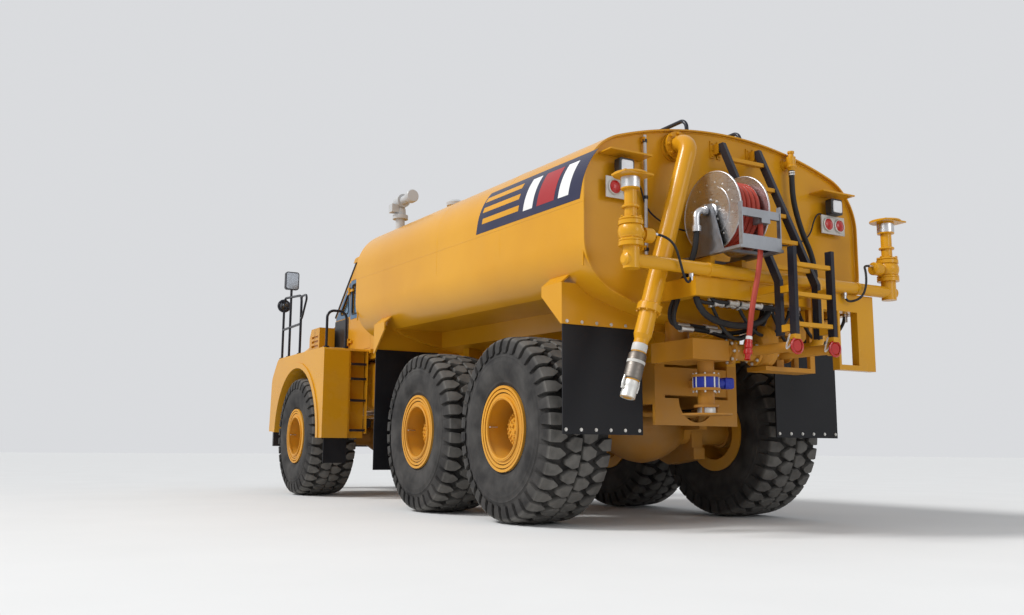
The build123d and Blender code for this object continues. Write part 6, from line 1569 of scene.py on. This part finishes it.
    def breather(self) -> None:
        """Hold the breather hose's top on the head: a stub from the head, a turned valve body and hose clamps."""
        foot = np.array([self.head, *self.vent])
        top = foot + (-0.090, 0, 0)
        stub = [(-0.004, 0.0), (-0.004, 0.058), (0.012, 0.058), (0.014, 0.040), (0.100, 0.040), (0.100, 0.0)]
        body = [(-0.082, 0.0), (-0.080, 0.034), (-0.060, 0.040), (-0.046, 0.052), (-0.030, 0.052), (-0.022, 0.040),
                (0.020, 0.046), (0.060, 0.046), (0.066, 0.030), (0.096, 0.026), (0.100, 0.034), (0.120, 0.034),
                (0.126, 0.0)]
        valve = merged((revolved(stub, foot, ASTERN, 28), revolved(body, top, UP, 28)))
        make_piece("breather_valve", valve, ROOT, "body_yellow")
        clamps = [collar(low, low + 0.014, 0.020, 0.0325, top, UP, 24) for low in (-0.104, -0.128)]
        screws = bolt_heads(np.array([top + (-0.030, 0.0, low) for low in (-0.097, -0.121)]), ASTERN, 0.007, 0.012)
        make_piece("breather_clamps", merged((*clamps, screws)), ROOT, "zinc")

    def build(self) -> None:
        """Build all of the rear fittings."""
        self.breather()
        self.deck_edge()
        self.fill_coupling()
        self.pump_bolts()
        self.loom()
        self.fill_pipe()
        self.spray_heads()
        self.lamps()
        self.dump_valve()
        self.deck_hoses()
        self.ladder()


@dataclass
class CabFittings:
    """The cab's seat, dash, window seals, glass bands, dark side panels, door handle and access steps.

    Args:
        floor: Height of the cab's floor.
        half: Half the cab's width.
    """

    floor: float = 2.120
    half: float = 0.950

    def cushion(self, centre: Point, size: Point, lean: float) -> Surface:
        """A crowned cushion: a squared-off ball whose sides pull in between the corners.

        Args:
            centre: Its middle.
            size: Half sizes along X, Y and Z.
            lean: Angle that it leans back.

        Returns:
            The closed cushion.
        """
        around = np.linspace(0.0, FULL_TURN, 56, endpoint=False)
        up = np.linspace(-math.pi / 2, math.pi / 2, 25)

        def soft(value: Array, power: float) -> Array:
            """A sine or cosine, squared off."""
            return np.sign(value) * np.abs(value) ** power

        flat = soft(np.cos(up), 0.42)[:, None]
        pull = 1.0 - 0.035 * np.cos(4 * around)[None, :]
        x = size[0] * flat * soft(np.cos(around), 0.40)[None, :] * pull
        y = size[1] * flat * soft(np.sin(around), 0.40)[None, :] * pull
        z = size[2] * np.broadcast_to(soft(np.sin(up), 0.55)[:, None], x.shape)
        along, rise = math.cos(lean), math.sin(lean)
        turned = np.stack((x * along + z * rise, y, z * along - x * rise), axis=-1)
        return grid(np.asarray(centre, float) + turned, round_columns=True, caps=True)

    def seat(self) -> None:
        """Build the seat, dash, column and wheel in place of the plain ones."""
        base = [block((1.97, -0.20, self.floor), (2.33, 0.20, self.floor + 0.10), 0.02),
                revolved([(0.10, 0.0), (0.10, 0.13), (0.33, 0.17), (0.33, 0.0)], (2.15, 0, self.floor), UP, 32),
                block((2.965, -0.795, self.floor + 0.01), (3.335, 0.795, self.floor + 0.66), 0.035),
                tube([(2.98, 0, self.floor + 0.56), (2.72, 0, self.floor + 0.72)], 0.035, 16)]
        dash = make_piece("seat_base_and_dash", merged(base), TRACTOR, "dark_plastic")
        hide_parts("operator_seat")
        hub = np.array([2.722, 0.0, self.floor + 0.719])
        rim = round_places(49, 0.195, hub, (-0.85, 0.0, 0.52))[:48]
        rim = np.vstack((rim, rim[:1]))
        spokes = [tube([hub, rim[index]], 0.010, 8) for index in (0, 16, 32)]
        make_piece("steering_wheel", merged((tube(rim, 0.014, 10), *spokes)), TRACTOR, "dark_plastic")
        pads = {"seat_cushion": self.cushion((2.15, 0, self.floor + 0.40), (0.265, 0.265, 0.068), 0.05),
                "seat_back": self.cushion((1.900, 0, self.floor + 0.81), (0.058, 0.255, 0.335), -0.17)}
        for name, surface in pads.items():
            make_piece(name, surface, TRACTOR, "seat_cloth", 80.0)

    def windows(self) -> None:
        """Run rubber seals round the windows, with bonded glass bands at the sides and trim on the screen's edges."""
        pane_foot, pane_head, seal_radius = 2.765, 3.388, 0.014
        side_window = rounded_box((1.88, 2.84), (2.62, 3.32), 0.05)
        quarter = rounded_loop([(2.78, 2.88), (3.18, 2.88), (2.78, 3.226)], 0.05)
        rear = rounded_box((-0.80, 2.91), (0.80, 3.61), 0.05)
        screen = rounded_box((-0.83, 0.11), (0.83, 1.081), 0.05)

        def seal(loop: Array, side: float) -> Surface:
            """A rubber bead round a window in a side wall."""
            return tube(upright(loop, side * (self.half + 0.002)), seal_radius, 8)

        def band(outer: Array, inner: Array, side: float) -> Surface:
            """A flat band of bonded glass round a window: loops of the same count, joined as a closed ring.

            Args:
                outer: The band's outer edge.
                inner: The window's edge.
                side: 1 for the left side, -1 for the right.

            Returns:
                The closed band.
            """
            rows = [upright(loop[:-1], side * (self.half + off))
                    for loop, off in ((outer, -0.001), (outer, 0.006), (inner, 0.006), (inner, -0.001))]
            return grid(np.stack(rows), round_rows=True, round_columns=True)

        beads = [seal(side_window, -1.0), *(seal(quarter, side) for side in SIDES),
                 tube(np.column_stack((np.full(len(rear), 1.348), rear)), seal_radius, 8),
                 tube(SCREEN_FOOT + screen[:, :1] * ACROSS + screen[:, 1:] * SCREEN_UP, seal_radius, 8)]
        make_piece("cab_window_seals", merged(beads), TRACTOR, "hose_black")
        door_edge = rounded_box((1.812, pane_foot), (2.688, pane_head), 0.03)
        quarter_edge = rounded_loop([(2.714, 2.815), (3.385, 2.815), (2.714, 3.395)], 0.03)
        rear_pane = prism(rounded_box((1.42, pane_foot), (1.782, pane_head), 0.03)[:-1], 0.007)
        bands = [band(quarter_edge, quarter, side) for side in SIDES]
        bands += [rear_pane.placed((0, side * (self.half - 0.001), 0), AHEAD, UP, (0, side, 0)) for side in SIDES]
        bands.append(band(door_edge, side_window, -1.0))
        make_piece("cab_glass_bands", merged(bands), TRACTOR, "glass_band")
        make_piece("door_glass_band", band(door_edge, side_window, 1.0), "cab_door", "glass_band")
        edges = [tube([(3.395, side * 0.940, 2.875), (2.510, side * 0.940, 3.642)], 0.024, 10) for side in SIDES]
        make_piece("screen_pillar_trim", merged(edges), TRACTOR, "rail_black")
        make_piece("door_window_seal", seal(side_window, 1.0), "cab_door", "hose_black")

    def panels(self) -> None:
        """Add the dark side panels, the access steps' nosings and the door's handle."""
        panel = prism([(2.76, 2.24), (3.385, 2.24), (3.385, 2.80), (2.76, 2.80)], 0.010, 0.003)
        dark = [panel.placed((0, side * (self.half - 0.002), 0), AHEAD, UP, (0, side, 0)) for side in SIDES]
        make_piece("cab_dark_panels", merged(dark), TRACTOR, "dark_plastic")
        low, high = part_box("access_ladder")
        nosings = [block((low.x - 0.001, low.y + 0.026, z - 0.003), (low.x + 0.030, high.y - 0.026, z + 0.033), 0.003)
                   for z in (0.970, 1.410, 1.730, 1.950)]
        make_piece("access_step_nosings", merged(nosings), TRACTOR, "rail_black")
        handle = tube([(1.90, 0.955, 2.62), (1.90, 0.995, 2.64), (2.04, 0.995, 2.64), (2.04, 0.955, 2.62)], 0.012, 10)
        make_piece("door_handle", handle, "cab_door", "dark_plastic")

    def build(self) -> None:
        """Build all of the cab's fittings."""
        self.seat()
        self.windows()
        self.panels()


@dataclass
class NoseFittings:
    """The hood's panels and louvres, the grille's bars, lamp bezels, wipers, mirrors, rail loops and rail feet.

    Args:
        nose: Place of the bumper's face along the truck.
        half: Half the hood's width.
        deck: Height of the fender decks.
        rail: Distance of the handrails from the middle.
    """

    nose: float = 5.940
    half: float = 0.960
    deck: float = 2.200
    rail: float = 1.650

    def hood_trim(self) -> None:
        """Add bare dark panels, louvres along the engine and upright bars behind the grille's slats."""
        dark = []
        vent = prism(rounded_loop([(3.46, 2.22), (3.98, 2.22), (3.90, 2.58), (3.46, 2.68)], 0.03)[:-1], 0.012)
        field = prism(rounded_loop([(4.25, 1.80), (5.35, 1.80), (5.35, 2.17), (4.25, 2.26)], 0.04)[:-1], 0.006)
        blade = prism([(0.0, 0.0), (0.020, 0.004), (0.020, 0.010), (0.0, 0.034)], 1.00)
        for side in SIDES:
            out = (0, side, 0)
            dark += [panel.placed((0, side * (self.half - 0.002), 0), AHEAD, UP, out) for panel in (vent, field)]
            louvre = blade.placed((4.30, side * self.half, 1.835), out, UP, AHEAD)
            dark.append(louvre.repeated([(0, 0, 0.046 * row) for row in range(7)]))
        bar = block((5.868, -0.004, 1.735), (5.878, 0.004, 2.145), 0.001)
        dark.append(bar.repeated([(0, y, 0) for y in np.linspace(-0.70, 0.70, 36)]))
        make_piece("hood_dark_trim", merged(dark), "hood", "dark_plastic")

    def front_lamps(self) -> None:
        """Ring each headlamp with a bezel and bolt the bumper's face."""
        bezel = [(-0.004, 0.093), (0.022, 0.093), (0.030, 0.101), (0.022, 0.110), (-0.004, 0.116)]
        bezels = [revolved(bezel, (self.nose, side * y, 1.120), AHEAD, 40) for side in SIDES for y in (0.650, 0.860)]
        make_piece("headlamp_bezels", merged(bezels), TRACTOR, "zinc")
        places = np.array([(self.nose, y, z) for y in (-0.36, -0.26, 0.26, 0.36) for z in (1.00, 1.18)])
        make_piece("bumper_bolts", bolt_heads(places, AHEAD, 0.016, 0.016), TRACTOR, "zinc")

    def wipers(self) -> None:
        """Lay two wipers on the screen: a bent arm and a blade each, on the screen's own slant."""
        def on_screen(rows: Point, side: float) -> Array:
            """Points from rows of place up the screen, out from its middle and off it."""
            up, across, off = np.asarray(rows, float).T[:, :, None]
            return SCREEN_FOOT + up * SCREEN_UP + side * across * ACROSS + off * SCREEN_OUT

        arm = [(0.03, 0.44, -0.004), (0.06, 0.44, 0.030), (0.16, 0.42, 0.044), (0.60, 0.26, 0.036)]
        blade = [(0.28, 0.38, 0.020), (0.60, 0.26, 0.024), (0.92, 0.14, 0.020)]
        runs = [tube(on_screen(rows, side), radius, 8)
                for side in SIDES for rows, radius in ((arm, 0.009), (blade, 0.011))]
        make_piece("screen_wipers", merged(runs), TRACTOR, "dark_plastic")

    def mirrors(self) -> None:
        """Face the mirrors with glass, add the rails' rear loops, and bolt round feet under the rails."""
        glass, feet, loops = [], [], []
        pane = prism(rounded_box((-0.098, -0.133), (0.098, 0.133), 0.03)[:-1], 0.004)
        bulge = [(0.010, 0.0), (0.010, 0.084), (0.017, 0.050), (0.019, 0.0)]
        foot = [(-0.002, 0.016), (-0.002, 0.046), (0.010, 0.046), (0.013, 0.042), (0.013, 0.016)]
        loop = rounded_loop([(3.05, 2.70), (2.79, 3.06), (2.81, 3.13), (3.05, 3.135)], 0.05)
        posts = [(x, self.rail) for x in (4.0, 3.62, 3.05, 1.77)] + [(1.77, 1.35)]
        for side in SIDES:
            y = side * self.rail
            glass += [pane.placed((3.591, y, 3.470), ACROSS, UP, ASTERN), revolved(bulge, (4.0, y, 3.100), ASTERN, 32)]
            loops.append(tube(upright(loop, y), 0.017, 10))
            for x, across in posts:
                seat = np.array([x, side * across, self.deck])
                places = round_places(4, 0.034, seat + (0, 0, 0.012), UP, 0.8)
                feet += [revolved(foot, seat, UP, 24), bolt_heads(places, UP, 0.007, 0.008)]
        make_piece("handrail_loops", merged(loops), TRACTOR, "rail_black")
        make_piece("mirror_glass", merged(glass), TRACTOR, "mirror")
        make_piece("handrail_feet", merged(feet), TRACTOR, "rail_black")

    def build(self) -> None:
        """Build all of the nose's fittings."""
        self.hood_trim()
        self.front_lamps()
        self.wipers()
        self.mirrors()


def stand(piece: bpy.types.Object, axes: Sequence[Point], place: Point) -> None:
    """Stand a lamp or the camera at a place with its own axes along three directions.

    Args:
        piece: The lamp or the camera.
        axes: The directions of its X, Y and Z.
        place: Where it stands.
    """
    rows = [(*(axis[row] for axis in axes), place[row]) for row in range(3)]
    piece.matrix_world = Matrix([*rows, (0, 0, 0, 1)])
    bpy.context.scene.collection.objects.link(piece)


@dataclass
class Stage:
    """The pale floor, the soft lamps, the world and the camera.

    Args:
        reach: Half the floor's width.
        eye: The camera's place.
        yaw: Its turn from straight ahead, in degrees.
        pitch: Its upward tilt.
        roll: Its roll.
        focal_px: Its focal length in pixels of the picture.
        width_px: The picture's width.
    """

    reach: float = 160.0
    eye: tuple[float, float, float] = (-11.683, 6.246, 0.698)
    yaw: float = -29.98
    pitch: float = 8.59
    roll: float = 0.33
    focal_px: float = 948.7
    width_px: int = 1024

    def floor(self) -> None:
        """Lay a wide pale floor under the tyres."""
        corners = self.reach * np.array([(-1, -1, 0), (1, -1, 0), (1, 1, 0), (-1, 1, 0)])
        mesh = bpy.data.meshes.new("studio_floor")
        mesh.from_pydata(corners.tolist(), [], [(0, 1, 2, 3)])
        piece = bpy.data.objects.new("studio_floor", mesh)
        sketch = ShaderSketch("studio_floor_pale")
        sketch.tint(sketch.mix(sketch.noise(0.8, 6.0), (0.66, 0.66, 0.65), (0.72, 0.72, 0.71)))
        sketch.fix(Roughness=0.9)
        mesh.materials.append(sketch.material)
        bpy.context.scene.collection.objects.link(piece)

    def lamp(self, name: str, kind: str, place: Point, target: Point, size: float, power: float) -> None:
        """Hang a soft lamp.

        Args:
            name: The lamp's name.
            kind: AREA for a square lamp, SUN for an even light from far off.
            place: Where it hangs.
            target: The point that it faces.
            size: An area lamp's edge in metres, or the sun's angle in radians.
            power: Its power in watts, or the sun's strength.
        """
        light = bpy.data.lights.new(name, kind)
        if kind == "SUN":
            light.angle = size
        else:
            light.size = size
        light.energy = power
        away = np.asarray(place, float) - np.asarray(target, float)
        stand(bpy.data.objects.new(name, light), frame_of(away), place)

    def world(self) -> None:
        """Light the scene evenly, and show a pale backdrop to the camera and in reflections."""
        world = bpy.data.worlds.new("studio_world")
        world.use_nodes = True
        nodes, links = world.node_tree.nodes, world.node_tree.links
        plain = nodes["Background"]
        plain.inputs["Color"].default_value = (0.92, 0.95, 1.0, 1.0)
        plain.inputs["Strength"].default_value = 0.55
        shown = nodes.new("ShaderNodeBackground")
        shown.inputs["Color"].default_value = (0.70, 0.71, 0.73, 1.0)
        shown.inputs["Strength"].default_value = 1.0
        rays = nodes.new("ShaderNodeLightPath")
        blend = nodes.new("ShaderNodeMixShader")
        seen = rays.outputs["Is Camera Ray"]
        for kind in ("Is Glossy Ray", "Is Transmission Ray"):
            either = nodes.new("ShaderNodeMath")
            either.operation = "MAXIMUM"
            links.new(seen, either.inputs[0])
            links.new(rays.outputs[kind], either.inputs[1])
            seen = either.outputs["Value"]
        links.new(seen, blend.inputs["Fac"])
        links.new(plain.outputs["Background"], blend.inputs[1])
        links.new(shown.outputs["Background"], blend.inputs[2])
        links.new(blend.outputs["Shader"], nodes["World Output"].inputs["Surface"])
        bpy.context.scene.world = world

    def camera(self) -> None:
        """Set the camera at the photograph's low rear left view."""
        yaw, pitch, roll = (math.radians(angle) for angle in (self.yaw, self.pitch, self.roll))
        ahead = np.array([math.cos(pitch) * math.cos(yaw), math.cos(pitch) * math.sin(yaw), math.sin(pitch)])
        level = np.cross(ahead, UP)
        level /= np.linalg.norm(level)
        upright = np.cross(level, ahead)
        right = level * math.cos(roll) + upright * math.sin(roll)
        up = upright * math.cos(roll) - level * math.sin(roll)
        lens = bpy.data.cameras.new("photo_camera")
        lens.sensor_fit = "HORIZONTAL"
        lens.sensor_width = 36.0
        lens.lens = self.focal_px / self.width_px * lens.sensor_width
        lens.clip_end = 500.0
        piece = bpy.data.objects.new("photo_camera", lens)
        stand(piece, (right, up, -ahead), self.eye)
        bpy.context.scene.camera = piece

    def build(self) -> None:
        """Build the stage."""
        self.floor()
        self.lamp("sun_lamp", "SUN", (3.0, 8.0, 8.5), (0.0, 0.0, 0.0), 0.25, 2.4)
        self.lamp("key_lamp", "AREA", (-7.0, 12.0, 10.0), (-2.5, 0.5, 2.4), 6.0, 420.0)
        self.lamp("rear_lamp", "AREA", (-17.0, -3.0, 6.0), (-5.0, 0.0, 2.4), 5.0, 260.0)
        self.world()
        self.camera()
        bpy.context.scene.view_settings.view_transform = "Standard"


NODE_FINISHES = {"reel_frame": "frame_grey"}


def dress_nodes(frame: dict) -> None:
    """Give every CAD node its own finish, or that of its material slot.

    Args:
        frame: The loaded frame.
    """
    for entry in frame["record"]["subparts"]:
        node = frame["nodes"][entry["node"]]
        node.data.materials.clear()
        node.data.materials.append(PALETTE[NODE_FINISHES.get(entry["node"], entry["material_slot"])])


def main() -> None:
    """Load the frame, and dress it."""
    logging.basicConfig(level=logging.INFO, format="%(name)s: %(message)s")
    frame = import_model()
    RECORD_SLOTS.update(entry["slot"] for entry in frame["record"]["materials"])
    Stage().build()
    dress_nodes(frame)
    HoseReel().build()
    for row in ("front", "mid", "rear"):
        for hand in ("left", "right"):
            Wheel(f"{row}_{hand}").build()
    TankTrim().build()
    RearFittings().build()
    CabFittings().build()
    NoseFittings().build()


if __name__ == "__main__":
    main()
